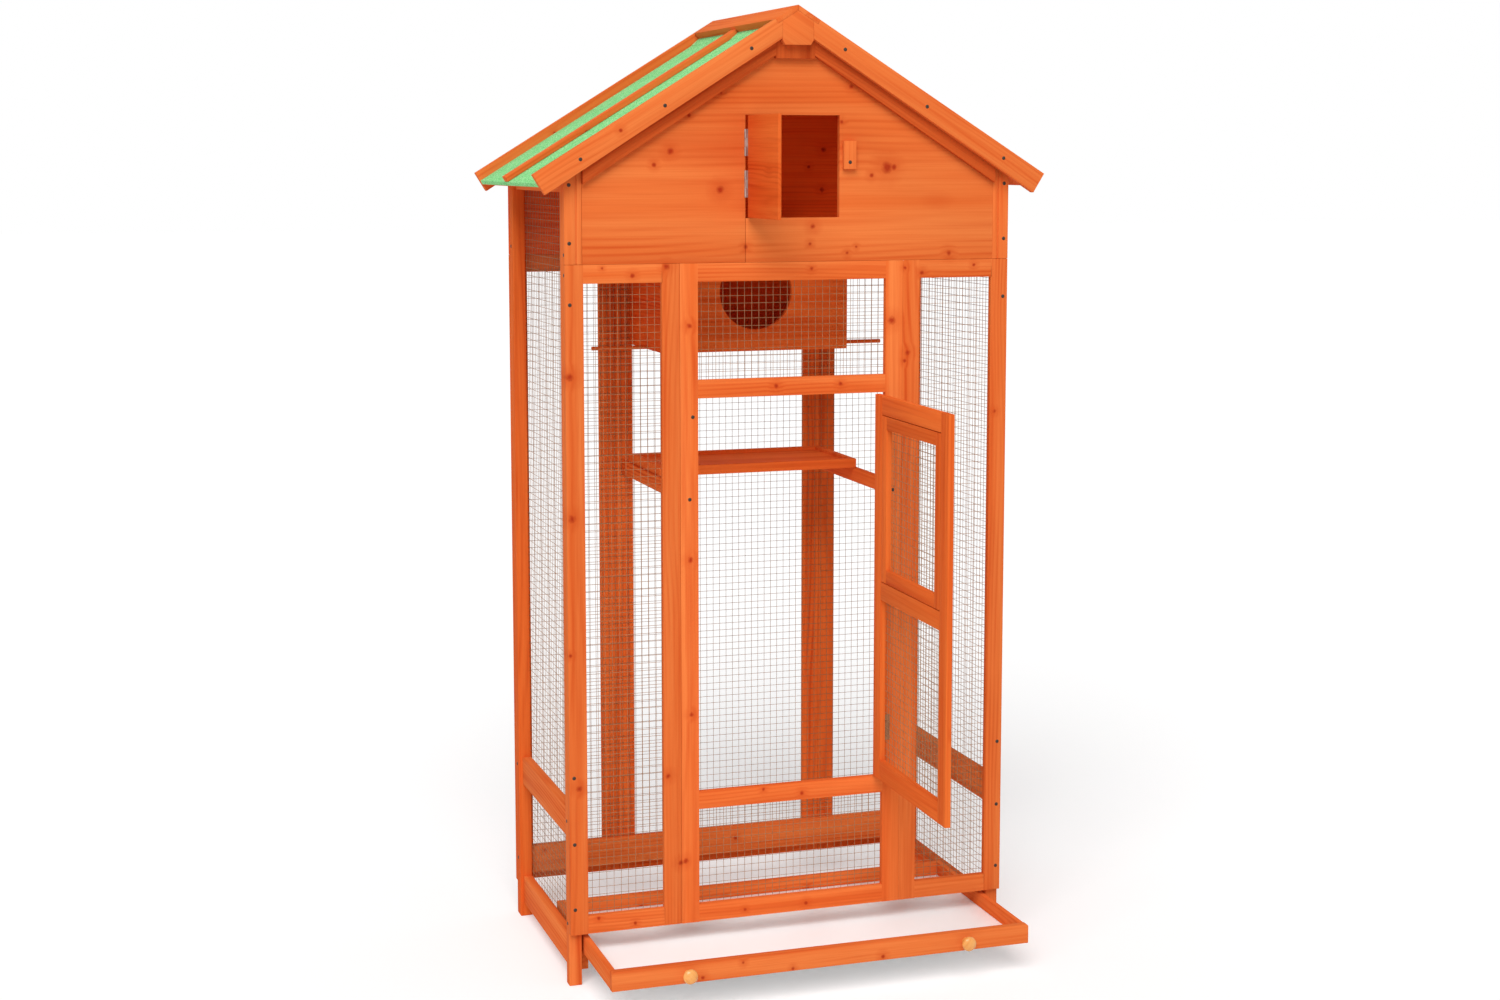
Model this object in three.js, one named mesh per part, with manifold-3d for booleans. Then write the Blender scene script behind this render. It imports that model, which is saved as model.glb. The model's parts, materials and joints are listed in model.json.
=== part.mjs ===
// Tall wooden birdhouse: a wire-meshed timber cabin on four legs, with a gabled felt roof, a large
// front door that carries a small hatch, a gable door for the nest box, and a pull-out tray.
// Millimetres, +Z up, X along the front with 0 at its centre, Y back from the face of the front frames.
import * as THREE from 'three';
import { mergeVertices } from 'three/addons/utils/BufferGeometryUtils.js';
import Module from 'manifold-3d';

const wasm = await Module();
wasm.setup();

// Cabin
const cageWidth = 790;
const cageDepth = 427;
const gableRise = 425.5;
const seat = 0.3;
const overrun = 5;

// Frames of the front and rear walls
const frameThick = 11;
const member = 31;
const sideFrameShare = 0.2481;
const frontFrameBottom = 92;
const rearFrameBottom = 60.5;
const doorwayBottom = 321.5;
const doorwayDrop = 226;

// Corner posts
const postWidth = 21.7;
const frontPostDepth = 20;
const rearPostDepth = 28;

// Rails of the side walls
const railThick = 16;
const railInset = 6;
const railHeight = 50;
const baseRailBottom = 25.5;
const midRailBottom = 251;
const rearRailBottom = 77;
const eaveRailHeight = 34;
const runnerWidth = 16;
const runnerTop = 53;
const runnerHeight = 33.5;

// Roof
const roofSlopeShare = 0.6175;
const ridgeTop = 1647.5;
const roofHalfWidth = 451.5;
const bargeThick = 12.7;
const bargeDrop = 38;
const bargeTaperShare = 0.0175;
const frontOverhang = 23;
const rearOverhang = 23;
const feltDepth = 16;
const panelThick = 9;
const capWidth = 46;
const capThick = 8;
const battenWidth = 25;
const battenHeight = 10.5;
const battenPlace = 213.5;
const kingHalfWidth = 27;
const kingFootHalfWidth = 22.5;
const kingDrop = 65.5;
const kingShoulderRise = 7.5;

// Gable
const gableStileWidth = 29.3;
const gableRafterThick = 9.7;
const rafterDrop = 31;
const rafterTaperShare = 0.0205;
const gussetHalfWidth = 34.5;
const gussetDrop = 87.5;
const hatchwayLeft = -84.7;
const hatchwayWidth = 167.2;
const hatchwayRise = 74;
const hatchwayHeight = 171;
const grooveWidth = 3;
const grooveDepth = 2;
const grooveShare = 0.333;

// Main door, hung on its right stile
const doorThick = 10;
const doorGap = 2;
const doorStile = 32.5;
const doorTopRail = 32.5;
const doorMiddleRailShare = 0.4737;
const doorBottomRail = 35;
const doorAngle = 89;
const hingeReach = 5;

// Hatch in the main door
const hatchGap = 1.5;
const hatchMember = 22;

// Hinges
const barrelRadius = 3;
const hingePin = 1.4;
const hingeClearance = 0.3;
const hingePlate = 1.2;
const hingeLeafWidth = 16;
const hingeHeight = 46;
const doorHingeShares = [0.09, 0.86];
const hatchHingeReach = 3.2;
const hatchBarrelRadius = 1.9;
const hatchHingePin = 0.8;
const hatchHingeLeaf = 9;
const hatchHingeHeight = 28;
const hatchHingeShares = [0.12, 0.8];

// Gable door and its turn button
const gableDoorAngle = 91.3;
const gableDoorThick = 5.5;
const gableDoorGap = 1;
const gableHingeReach = 3;
const gableBarrelRadius = 2;
const gableHingePin = 0.8;
const gableHingeLeaf = 4;
const gableHingeHeight = 45;
const gableHingeShares = [0.2, 0.6];
const buttonWidth = 22;
const buttonLength = 47.5;
const buttonThick = 7.7;
const buttonOffset = 5.2;
const buttonRise = 81;
const buttonPivotHeight = 11.5;
const buttonHole = 2;

// Nest box
const nestLap = 4.5;
const nestFrontFace = 198;
const nestDrop = 166.5;
const nestHeight = 200;
const nestBoard = 10;
const nestHole = 67;
const nestHoleHeight = 105.2;
const nestFloorLift = 7.6;

// Perch
const perchRadius = 3.5;
const perchReach = 102.5;
const perchPlace = 297;

// Shelf and its supports
const shelfInset = 1;
const shelfFront = 178;
const shelfDepth = 197;
const shelfDrop = 214.5;
const shelfThick = 10.5;
const shelfRim = 6;
const shelfRimWidth = 12;
const supportThick = 10;
const supportHeight = 25;
const supportInset = 14;

// Tray, pulled out at rest
const trayPull = 175;
const trayFrontLap = 0.5;
const trayFrontThick = 14;
const trayFrontHeight = 33;
const trayFrontRound = 4;
const trayClearance = 3.5;
const trayDepth = 385;
const traySide = 10;
const traySideHeight = 30.5;
const traySheet = 2;
const traySheetLift = 4;
const trayRebate = 4;
const knobRadius = 13;
const knobLength = 22;
const knobNeck = 6.5;
const knobInset = 123;
const knobShift = 5.5;
const knobCurveShares = [[0.4, 0.35, 0.8, 0.5], [1.15, 0.72, 0.75, 0.9], [0.4, 1, 0, 1]];

// Wire nets, drawn coarse: each sheet has this many whole gaps near the stated pitch
const wireWidth = 2;
const wireThick = 1.2;
const netPitch = 98;
const netLap = 7;

const wood = { color: 0xe2742f, roughness: 0.6, metalness: 0 };
const innerWood = { color: 0xb4471c, roughness: 0.7, metalness: 0 };
const varnishedWood = { color: 0xe1a050, roughness: 0.35, metalness: 0 };
const felt = { color: 0x8fdc8c, roughness: 0.95, metalness: 0 };
const wire = { color: 0x8a8178, roughness: 0.45, metalness: 0.8 };
const sheet = { color: 0xf4f2ee, roughness: 0.5, metalness: 0 };

const cage = new THREE.Group();
cage.name = 'birdhouse';

function mesh(parent, name, geometry, look) {
  geometry.computeVertexNormals();
  const node = new THREE.Mesh(geometry, new THREE.MeshStandardMaterial(look));
  node.name = name;
  parent.add(node);
  return node;
}

function toSolid(geometry) {
  const bare = geometry.clone();
  bare.deleteAttribute('normal');
  bare.deleteAttribute('uv');
  const merged = mergeVertices(bare, 1e-4);
  return new wasm.Manifold(new wasm.Mesh({
    numProp: 3,
    vertProperties: new Float32Array(merged.attributes.position.array),
    triVerts: new Uint32Array(merged.index.array),
  }));
}

function fromSolid(solid) {
  const data = solid.getMesh();
  const geometry = new THREE.BufferGeometry();
  geometry.setAttribute('position', new THREE.BufferAttribute(data.vertProperties, data.numProp));
  geometry.setIndex(new THREE.BufferAttribute(data.triVerts, 1));
  return geometry;
}

// Box between two opposite corners, whose sides lie exactly where they are given
function box(x0, x1, y0, y1, z0, z1) {
  const geometry = new THREE.BoxGeometry();
  const corners = geometry.attributes.position;
  for (let i = 0; i < corners.count; i += 1) {
    corners.setXYZ(i,
      corners.getX(i) < 0 ? x0 : x1,
      corners.getY(i) < 0 ? y0 : y1,
      corners.getZ(i) < 0 ? z0 : z1);
  }
  return geometry;
}

function outline(points) {
  return new THREE.Shape(points.map(([u, v]) => new THREE.Vector2(u, v)));
}

function rectangle(x0, x1, z0, z1) {
  return [[x0, z0], [x1, z0], [x1, z1], [x0, z1]];
}

// Extrusion of an outline drawn in X and Z, from y0 back to y1
function upright(shape, y0, y1) {
  const geometry = new THREE.ExtrudeGeometry(shape, { depth: y1 - y0, bevelEnabled: false });
  geometry.rotateX(Math.PI / 2);
  geometry.translate(0, y1, 0);
  return geometry;
}

// Extrusion of an outline drawn in X and Y, from z0 up to z1, with circles of ten sides
function standing(shape, z0, z1) {
  const settings = { depth: z1 - z0, bevelEnabled: false, curveSegments: 5 };
  const geometry = new THREE.ExtrudeGeometry(shape, settings);
  geometry.translate(0, 0, z0);
  return geometry;
}

// Framed panel of one thickness with windows given as [x0, x1, z0, z1]
function framedPanel(x0, x1, z0, z1, windows, y0, y1) {
  return windows.reduce(
    (solid, [w0, w1, v0, v1]) => solid.subtract(toSolid(box(w0, w1, y0 - overrun, y1 + overrun, v0, v1))),
    toSolid(box(x0, x1, y0, y1, z0, z1)),
  );
}

// Edges of the wires along one direction of a net, with whole gaps near the stated pitch
function wireEdges(low, high) {
  const gaps = Math.max(1, Math.round((high - low) / netPitch));
  const step = (high - low - wireWidth) / gaps;
  const edges = Array.from({ length: gaps }, (unused, i) => [low + i * step, low + i * step + wireWidth]);
  return [...edges, [high - wireWidth, high]];
}

// Flat wire net between two opposite corners: its wires cross in one sheet and are welded there.
// The sheet is square to Y, or to X where sideWall is set. Faces run cell by cell over a grid whose
// odd columns and rows are the gaps, so each edge meets exactly one other.
function net(u0, u1, v0, v1, w0, sideWall) {
  const [us, vs] = [wireEdges(u0, u1).flat(), wireEdges(v0, v1).flat()];
  const w1 = w0 + wireThick;
  const filled = (i, j) => i >= 0 && j >= 0 && i < us.length - 1 && j < vs.length - 1 && !(i % 2 && j % 2);
  const positions = [];
  const quad = (...corners) => {
    const [a, b, c, d] = corners.map(([u, v, w]) => (sideWall ? [w, u, v] : [u, w, v]));
    const loop = sideWall ? [a, b, c, a, c, d] : [a, c, b, a, d, c];
    positions.push(...loop.flat());
  };
  for (let i = 0; i < us.length - 1; i += 1) {
    for (let j = 0; j < vs.length - 1; j += 1) {
      const [a, b, c, d] = [us[i], us[i + 1], vs[j], vs[j + 1]];
      if (filled(i, j)) {
        quad([a, c, w1], [b, c, w1], [b, d, w1], [a, d, w1]);
        quad([a, c, w0], [a, d, w0], [b, d, w0], [b, c, w0]);
        if (!filled(i - 1, j)) quad([a, c, w0], [a, c, w1], [a, d, w1], [a, d, w0]);
        if (!filled(i + 1, j)) quad([b, c, w0], [b, d, w0], [b, d, w1], [b, c, w1]);
        if (!filled(i, j - 1)) quad([a, c, w0], [b, c, w0], [b, c, w1], [a, c, w1]);
        if (!filled(i, j + 1)) quad([a, d, w0], [a, d, w1], [b, d, w1], [b, d, w0]);
      }
    }
  }
  const geometry = new THREE.BufferGeometry();
  geometry.setAttribute('position', new THREE.Float32BufferAttribute(positions, 3));
  return mergeVertices(geometry);
}

// Height of the roof's planes above the point x, for a plane lowered square to the slope
const slopeLength = Math.hypot(1, roofSlopeShare);
function roofHeight(x, depth) {
  return ridgeTop - depth * slopeLength - roofSlopeShare * Math.abs(x);
}
const undersideDepth = feltDepth + panelThick + seat;

const wallTop = ridgeTop - gableRise;
const doorwayTop = wallTop - doorwayDrop;
const hatchwayBottom = wallTop + hatchwayRise;
const nestBottom = wallTop - nestDrop;
const shelfBottom = nestBottom - shelfDrop;

const half = cageWidth / 2;
const rearFace = cageDepth - frameThick;
const centreHalf = half - cageWidth * sideFrameShare;
const doorwayHalf = centreHalf - member;
const netFront = frameThick + seat;
const netRear = rearFace - seat;

// Front and rear walls: three framed panels side by side
function addWalls() {
  const windowTop = wallTop - member;
  [-1, 1].forEach((side) => {
    const name = side < 0 ? 'left' : 'right';
    const outer = side * half;
    const inner = side * (centreHalf + seat);
    const [x0, x1] = [Math.min(outer, inner), Math.max(outer, inner)];
    const frontWindow = [x0 + member, x1 - member, frontFrameBottom + member, windowTop];
    const rearWindow = [x0 + member, x1 - member, rearFrameBottom + member, windowTop];
    const front = framedPanel(x0, x1, frontFrameBottom, wallTop, [frontWindow], 0, frameThick);
    const rear = framedPanel(x0, x1, rearFrameBottom, wallTop, [rearWindow], rearFace, cageDepth);
    mesh(cage, `front_frame_${name}`, fromSolid(front), wood);
    mesh(cage, `rear_frame_${name}`, fromSolid(rear), innerWood);
  });
  const windows = [
    [-doorwayHalf, doorwayHalf, frontFrameBottom + member, doorwayBottom - member],
    [-doorwayHalf, doorwayHalf, doorwayBottom, doorwayTop],
    [-doorwayHalf, doorwayHalf, doorwayTop + member, windowTop],
  ];
  const front = framedPanel(-centreHalf, centreHalf, frontFrameBottom, wallTop, windows, 0, frameThick);
  mesh(cage, 'front_frame_center', fromSolid(front), wood);
  const rearWindow = [-doorwayHalf, doorwayHalf, rearFrameBottom + member, windowTop];
  const rear = framedPanel(-centreHalf, centreHalf, rearFrameBottom, wallTop, [rearWindow],
    rearFace, cageDepth);
  mesh(cage, 'rear_frame_center', fromSolid(rear), innerWood);
}

const frontPostBack = frameThick + seat + frontPostDepth;
const rearPostFront = rearFace - seat - rearPostDepth;
const railOuter = half - railInset;
const railInner = railOuter - railThick;
const postInner = half - postWidth;

// Post with its head cut to the roof's underside, at side -1 or 1
function post(side, y0, y1) {
  const [outer, inner] = [side * half, side * postInner];
  const head = (x) => roofHeight(x, undersideDepth);
  const points = [[outer, 0], [inner, 0], [inner, head(inner)], [outer, head(outer)]];
  return upright(outline(side < 0 ? points : points.reverse()), y0, y1);
}

function addPostsAndRails() {
  const [y0, y1] = [frontPostBack + seat, rearPostFront - seat];
  [-1, 1].forEach((side) => {
    const name = side < 0 ? 'left' : 'right';
    mesh(cage, `post_front_${name}`, post(side, frameThick + seat, frontPostBack), wood);
    mesh(cage, `post_rear_${name}`, post(side, rearPostFront, rearFace - seat), innerWood);
    const x0 = Math.min(side * railOuter, side * railInner);
    const x1 = Math.max(side * railOuter, side * railInner);
    mesh(cage, `mid_rail_${name}`,
      box(x0, x1, y0, y1, midRailBottom, midRailBottom + railHeight), wood);
    const eaveTop = (x) => roofHeight(x, undersideDepth);
    const eaveFoot = eaveTop(half) - eaveRailHeight;
    const eave = outline([[x0, eaveFoot], [x1, eaveFoot], [x1, eaveTop(x1)], [x0, eaveTop(x0)]]);
    mesh(cage, `eave_rail_${name}`, upright(eave, y0, y1), wood);
    const runner = box(
      side < 0 ? x1 - seat : x0 - runnerWidth,
      side < 0 ? x1 + runnerWidth : x0 + seat,
      y0, y1, runnerTop - runnerHeight, runnerTop,
    );
    const base = box(x0, x1, y0, y1, baseRailBottom, baseRailBottom + railHeight);
    mesh(cage, `base_rail_${name}`, fromSolid(toSolid(base).add(toSolid(runner))), wood);
  });
  mesh(cage, 'base_rail_rear',
    box(-postInner + seat, postInner - seat, netRear - wireThick - seat - railThick,
      netRear - wireThick - seat, rearRailBottom, rearRailBottom + railHeight), innerWood);
}

const roofFront = -frontOverhang;
const roofBack = cageDepth + rearOverhang;
const panelFront = roofFront + bargeThick + seat;
const panelBack = roofBack - bargeThick - seat;

function addRoof() {
  const eave = roofHalfWidth * slopeLength;
  [-1, 1].forEach((side) => {
    const name = side < 0 ? 'left' : 'right';
    const ridgeGap = seat * side;
    const at = (along, depth) => [
      side * (along - depth * roofSlopeShare) / slopeLength,
      ridgeTop - (along * roofSlopeShare + depth) / slopeLength,
    ];
    const orient = (points) => outline(side < 0 ? points.reverse() : points);
    const mitre = (depth) => [ridgeGap, ridgeTop - depth * slopeLength - roofSlopeShare * seat];
    const panel = orient([
      mitre(feltDepth), at(eave, feltDepth), at(eave, feltDepth + panelThick), mitre(feltDepth + panelThick),
    ]);
    mesh(cage, `roof_panel_${name}`, upright(panel, panelFront, panelBack), felt);
    const cap = orient([mitre(0), at(capWidth, 0), at(capWidth, capThick), mitre(capThick)]);
    mesh(cage, `ridge_cap_${name}`, upright(cap, roofFront, roofBack), wood);
    const battenTop = feltDepth - battenHeight;
    const batten = orient([
      at(capWidth + seat, battenTop), at(eave, battenTop),
      at(eave, feltDepth - seat), at(capWidth + seat, feltDepth - seat),
    ]);
    mesh(cage, `batten_${name}`,
      upright(batten, battenPlace - battenWidth / 2, battenPlace + battenWidth / 2), wood);
    const lower = (x) => ridgeTop - bargeDrop - (roofSlopeShare + bargeTaperShare) * Math.abs(x);
    const barge = (inner) => orient([
      [side * inner, roofHeight(inner, capThick + seat)],
      at(capWidth + seat, capThick + seat), at(capWidth + seat, 0), at(eave, 0),
      at(eave, bargeDrop), [side * inner, lower(inner)],
    ]);
    mesh(cage, `barge_front_${name}`,
      upright(barge(kingHalfWidth + seat), roofFront, roofFront + bargeThick), wood);
    mesh(cage, `barge_rear_${name}`, upright(barge(seat), roofBack - bargeThick, roofBack), wood);
  });
  const kingFoot = ridgeTop - kingDrop;
  const kingShoulder = kingFoot + kingShoulderRise;
  const king = outline([
    [-kingFootHalfWidth, kingFoot], [kingFootHalfWidth, kingFoot],
    [kingHalfWidth, kingShoulder], [kingHalfWidth, roofHeight(kingHalfWidth, capThick + seat)],
    [0, roofHeight(0, capThick + seat)],
    [-kingHalfWidth, roofHeight(kingHalfWidth, capThick + seat)], [-kingHalfWidth, kingShoulder],
  ]);
  mesh(cage, 'king_block', upright(king, roofFront, roofFront + bargeThick), wood);
}

const gableHingeFeet = gableHingeShares.map((share) => hatchwayBottom + share * hatchwayHeight);

function gableHinge(axis, foot) {
  return hingeHalves(axis, -1, foot, gableHingeHeight, gableHingeReach, gableBarrelRadius, gableHingePin,
    gableHingeLeaf, [gableHingeReach + seat, gableHingeReach + seat]);
}

// Gable walls: a wide board between short corner stiles, with the small doorway cut in the front one
function addGables() {
  const foot = wallTop + seat;
  const head = (x) => roofHeight(x, undersideDepth);
  const inner = half - gableStileWidth;
  const board = (edge) => outline([
    [-edge, foot], [edge, foot], [edge, head(edge)], [0, head(0)], [-edge, head(edge)],
  ]);
  const hatchway = box(hatchwayLeft, hatchwayLeft + hatchwayWidth, -overrun, frameThick + overrun,
    hatchwayBottom, hatchwayBottom + hatchwayHeight);
  const front = gableHingeFeet.reduce(
    (solid, foot) => solid.add(gableHinge([hatchwayLeft, -gableHingeReach], foot)[0]),
    toSolid(upright(board(inner - seat), 0, frameThick)).subtract(toSolid(hatchway)),
  );
  mesh(cage, 'gable_front', fromSolid(front), wood);
  mesh(cage, 'gable_rear', upright(board(half), rearFace, cageDepth), innerWood);
  [-1, 1].forEach((side) => {
    const name = side < 0 ? 'left' : 'right';
    const points = [
      [side * half, foot], [side * inner, foot], [side * inner, head(inner)], [side * half, head(half)],
    ];
    const stile = toSolid(upright(outline(side < 0 ? points : points.reverse()), 0, frameThick));
    const groovePlace = side * (inner + gableStileWidth * grooveShare);
    const groove = box(groovePlace - grooveWidth / 2, groovePlace + grooveWidth / 2,
      -overrun, grooveDepth, foot - overrun, head(inner) + overrun);
    mesh(cage, `gable_stile_${name}`, fromSolid(stile.subtract(toSolid(groove))), wood);
  });
  const gussetFoot = ridgeTop - gussetDrop;
  const lower = (x) => roofHeight(0, undersideDepth) - rafterDrop - (roofSlopeShare + rafterTaperShare) * x;
  const end = inner - seat;
  const gusset = gussetHalfWidth;
  const rafter = outline([
    [-gusset, gussetFoot], [gusset, gussetFoot], [gusset, lower(gusset)], [end, lower(end)],
    [end, head(end)], [0, head(0)], [-end, head(end)], [-end, lower(end)], [-gusset, lower(gusset)],
  ]);
  mesh(cage, 'gable_rafter', upright(rafter, -gableRafterThick - seat, -seat), wood);
}

// Hinge on an upright axis at (x, y), whose leaves lie on a face that is reach behind it. The fixed
// half lies on the given side, 1 for +X, and carries the pin. Each leaf's own reach is in backs.
function hingeHalves([x, y], fixedSide, z0, height, reach, radius, pin, leafWidth, backs) {
  const knuckle = height / 3;
  const knuckles = [[[0, knuckle], [2 * knuckle, height]], [[knuckle, 2 * knuckle]]];
  const bores = [0, pin + hingeClearance];
  const [fixed, moving] = [fixedSide, -fixedSide].map((side, i) => {
    const strip = (near, far, back, front, foot, head) => toSolid(box(
      x + Math.min(side * near, side * far), x + Math.max(side * near, side * far),
      y + back, y + front, foot, head));
    const leaf = strip(radius + hingeClearance, leafWidth, reach - hingePlate, backs[i],
      z0 + seat / 2, z0 + height - seat / 2);
    return knuckles[i].reduce((solid, [low, high]) => {
      const [foot, head] = [z0 + low + seat / 2, z0 + high - seat / 2];
      const barrel = new THREE.Shape().absarc(x, y, radius, 0, Math.PI * 2);
      if (bores[i]) barrel.holes.push(new THREE.Path().absarc(x, y, bores[i], 0, Math.PI * 2));
      const web = strip((radius + bores[i]) / 2, radius + 2 * hingeClearance, 0, reach - hingePlate / 2,
        foot, head);
      return solid.add(toSolid(standing(barrel, foot, head))).add(web);
    }, leaf);
  });
  const pinRod = standing(new THREE.Shape().absarc(x, y, pin, 0, Math.PI * 2),
    z0 + seat / 2, z0 + height - seat / 2);
  return [fixed.add(toSolid(pinRod)), moving];
}

const doorAxis = new THREE.Vector3(doorwayHalf - 2 * doorGap - seat, -hingeReach, 0);
const doorAngleRadians = THREE.MathUtils.degToRad(doorAngle);

// Main door, drawn shut about its hinge axis and swung open, with the hatch inside its upper window
function addDoor() {
  const door = new THREE.Group();
  door.position.copy(doorAxis);
  door.rotation.z = doorAngleRadians;
  cage.add(door);
  const right = doorwayHalf - doorGap - doorAxis.x;
  const left = -doorwayHalf + doorGap - doorAxis.x;
  const [low, high] = [doorwayBottom + doorGap, doorwayTop - doorGap];
  const [face, back] = [hingeReach, hingeReach + doorThick];
  const netFace = face - seat - wireThick;
  const [windowLeft, windowRight] = [left + doorStile, right - doorStile];
  const middleRailBottom = doorwayBottom + doorMiddleRailShare * (doorwayTop - doorwayBottom);
  const hatchLow = middleRailBottom + member;
  const hatchHigh = high - doorTopRail;
  const windows = [
    [windowLeft, windowRight, low + doorBottomRail, middleRailBottom],
    [windowLeft, windowRight, hatchLow, hatchHigh],
  ];
  let doorSolid = framedPanel(left, right, low, high, windows, face, back);
  doorHingeShares.forEach((share, i) => {
    const foot = low + share * (high - low);
    const halves = (axis) => hingeHalves(axis, 1, foot, hingeHeight, hingeReach, barrelRadius, hingePin,
      hingeLeafWidth, [hingeReach - seat, hingeReach + seat]);
    const [fixed] = halves([doorAxis.x, doorAxis.y]);
    mesh(cage, i ? 'door_hinge_upper' : 'door_hinge_lower', fromSolid(fixed), wire);
    const [, moving] = halves([0, 0]);
    doorSolid = doorSolid.add(moving);
  });

  const hatchRight = windowRight - hatchGap;
  const hatchLeft = windowLeft + hatchGap;
  const hatchAxis = windowRight - hatchGap / 2;
  const hatchAxisY = face - hatchHingeReach;
  const hatchWindow = [
    hatchLeft + hatchMember, hatchRight - hatchMember,
    hatchLow + hatchGap + hatchMember, hatchHigh - hatchGap - hatchMember,
  ];
  let hatchSolid = framedPanel(
    hatchLeft, hatchRight, hatchLow + hatchGap, hatchHigh - hatchGap, [hatchWindow], face, back);
  hatchHingeShares.forEach((share) => {
    const foot = hatchLow + share * (hatchHigh - hatchLow);
    const [fixed, moving] = hingeHalves([hatchAxis, hatchAxisY], 1, foot, hatchHingeHeight, hatchHingeReach,
      hatchBarrelRadius, hatchHingePin, hatchHingeLeaf, [hatchHingeReach + seat, hatchHingeReach + seat]);
    doorSolid = doorSolid.add(fixed);
    hatchSolid = hatchSolid.add(moving);
  });
  mesh(door, 'door_frame', fromSolid(doorSolid), wood);
  mesh(door, 'hatch_frame', fromSolid(hatchSolid), wood);
  mesh(door, 'net_door', net(windowLeft - netLap, windowRight + netLap,
    low + doorBottomRail - netLap, middleRailBottom + netLap, netFace), wire);
  mesh(door, 'net_hatch', net(hatchWindow[0] - netLap, hatchWindow[1] + netLap,
    hatchWindow[2] - netLap, hatchWindow[3] + netLap, netFace), wire);
}

// Small gable door on two strip hinges, swung open, and its wooden turn button
function addGableDoor() {
  const leafDoor = new THREE.Group();
  leafDoor.position.set(hatchwayLeft, -gableHingeReach, 0);
  leafDoor.rotation.z = -THREE.MathUtils.degToRad(gableDoorAngle);
  cage.add(leafDoor);
  const low = hatchwayBottom + gableDoorGap;
  const high = hatchwayBottom + hatchwayHeight - gableDoorGap;
  const leaf = gableHingeFeet.reduce(
    (solid, foot) => solid.add(gableHinge([0, 0], foot)[1]),
    toSolid(box(gableDoorGap, hatchwayWidth - gableDoorGap,
      gableHingeReach, gableHingeReach + gableDoorThick, low, high)),
  );
  mesh(leafDoor, 'gable_door', fromSolid(leaf), wood);

  const centre = hatchwayLeft + hatchwayWidth + buttonOffset + buttonWidth / 2;
  const buttonFoot = hatchwayBottom + buttonRise;
  const button = outline(rectangle(centre - buttonWidth / 2, centre + buttonWidth / 2,
    buttonFoot, buttonFoot + buttonLength));
  const pivotHeight = buttonFoot + buttonPivotHeight;
  button.holes.push(new THREE.Path().absarc(centre, pivotHeight, buttonHole, 0, Math.PI * 2));
  mesh(cage, 'turn_button', upright(button, -buttonThick - seat, -seat), wood);
}

function addNestBox() {
  const outer = doorwayHalf + nestLap;
  const back = netRear - wireThick - seat;
  const top = nestBottom + nestHeight;
  const front = outline(rectangle(-outer, outer, nestBottom, top));
  front.holes.push(new THREE.Path().absarc(0, nestBottom + nestHoleHeight, nestHole, 0, Math.PI * 2));
  const settings = { depth: nestBoard, bevelEnabled: false, curveSegments: 20 };
  const frontGeometry = new THREE.ExtrudeGeometry(front, settings);
  frontGeometry.rotateX(Math.PI / 2);
  frontGeometry.translate(0, nestFrontFace + nestBoard, 0);
  mesh(cage, 'nest_front', frontGeometry, innerWood);

  const inner = outer - nestBoard;
  const shell = outline([
    [-outer, nestFrontFace + nestBoard + seat], [-inner, nestFrontFace + nestBoard + seat],
    [-inner, back - nestBoard], [inner, back - nestBoard],
    [inner, nestFrontFace + nestBoard + seat], [outer, nestFrontFace + nestBoard + seat],
    [outer, back], [-outer, back],
  ]);
  const notchRadius = perchRadius + seat;
  const perchHeight = nestBottom + perchRadius;
  const notch = new THREE.CylinderGeometry(notchRadius, notchRadius, 2 * (outer + overrun), 16);
  notch.rotateZ(Math.PI / 2);
  notch.translate(0, perchPlace, perchHeight);
  mesh(cage, 'nest_shell',
    fromSolid(toSolid(standing(shell, nestBottom, top)).subtract(toSolid(notch))), innerWood);
  mesh(cage, 'nest_floor',
    box(-inner + seat, inner - seat, nestFrontFace + nestBoard + seat, back - nestBoard - seat,
      nestBottom + nestFloorLift, nestBottom + nestFloorLift + nestBoard), innerWood);
  const perch = new THREE.CylinderGeometry(perchRadius, perchRadius, 2 * (outer + perchReach), 12);
  perch.rotateZ(Math.PI / 2);
  perch.translate(0, perchPlace, perchHeight);
  mesh(cage, 'perch', perch, innerWood);
}

function addShelf() {
  const supportCentre = centreHalf - supportInset;
  const outer = supportCentre - shelfInset;
  const [y0, y1] = [shelfFront, shelfFront + shelfDepth];
  const top = shelfBottom + shelfThick;
  const board = toSolid(box(-outer, outer, y0, y1, shelfBottom, top + shelfRim));
  const recess = toSolid(box(-outer + shelfRimWidth, outer - shelfRimWidth,
    y0 + shelfRimWidth, y1 - shelfRimWidth, top, top + shelfRim + overrun));
  mesh(cage, 'shelf', fromSolid(board.subtract(recess)), innerWood);
  [-1, 1].forEach((side) => {
    const name = side < 0 ? 'left' : 'right';
    const centre = side * supportCentre;
    mesh(cage, `shelf_support_${name}`,
      box(centre - supportThick / 2, centre + supportThick / 2, netFront, netRear - wireThick - seat,
        shelfBottom - seat - supportHeight, shelfBottom - seat), innerWood);
  });
}

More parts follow.
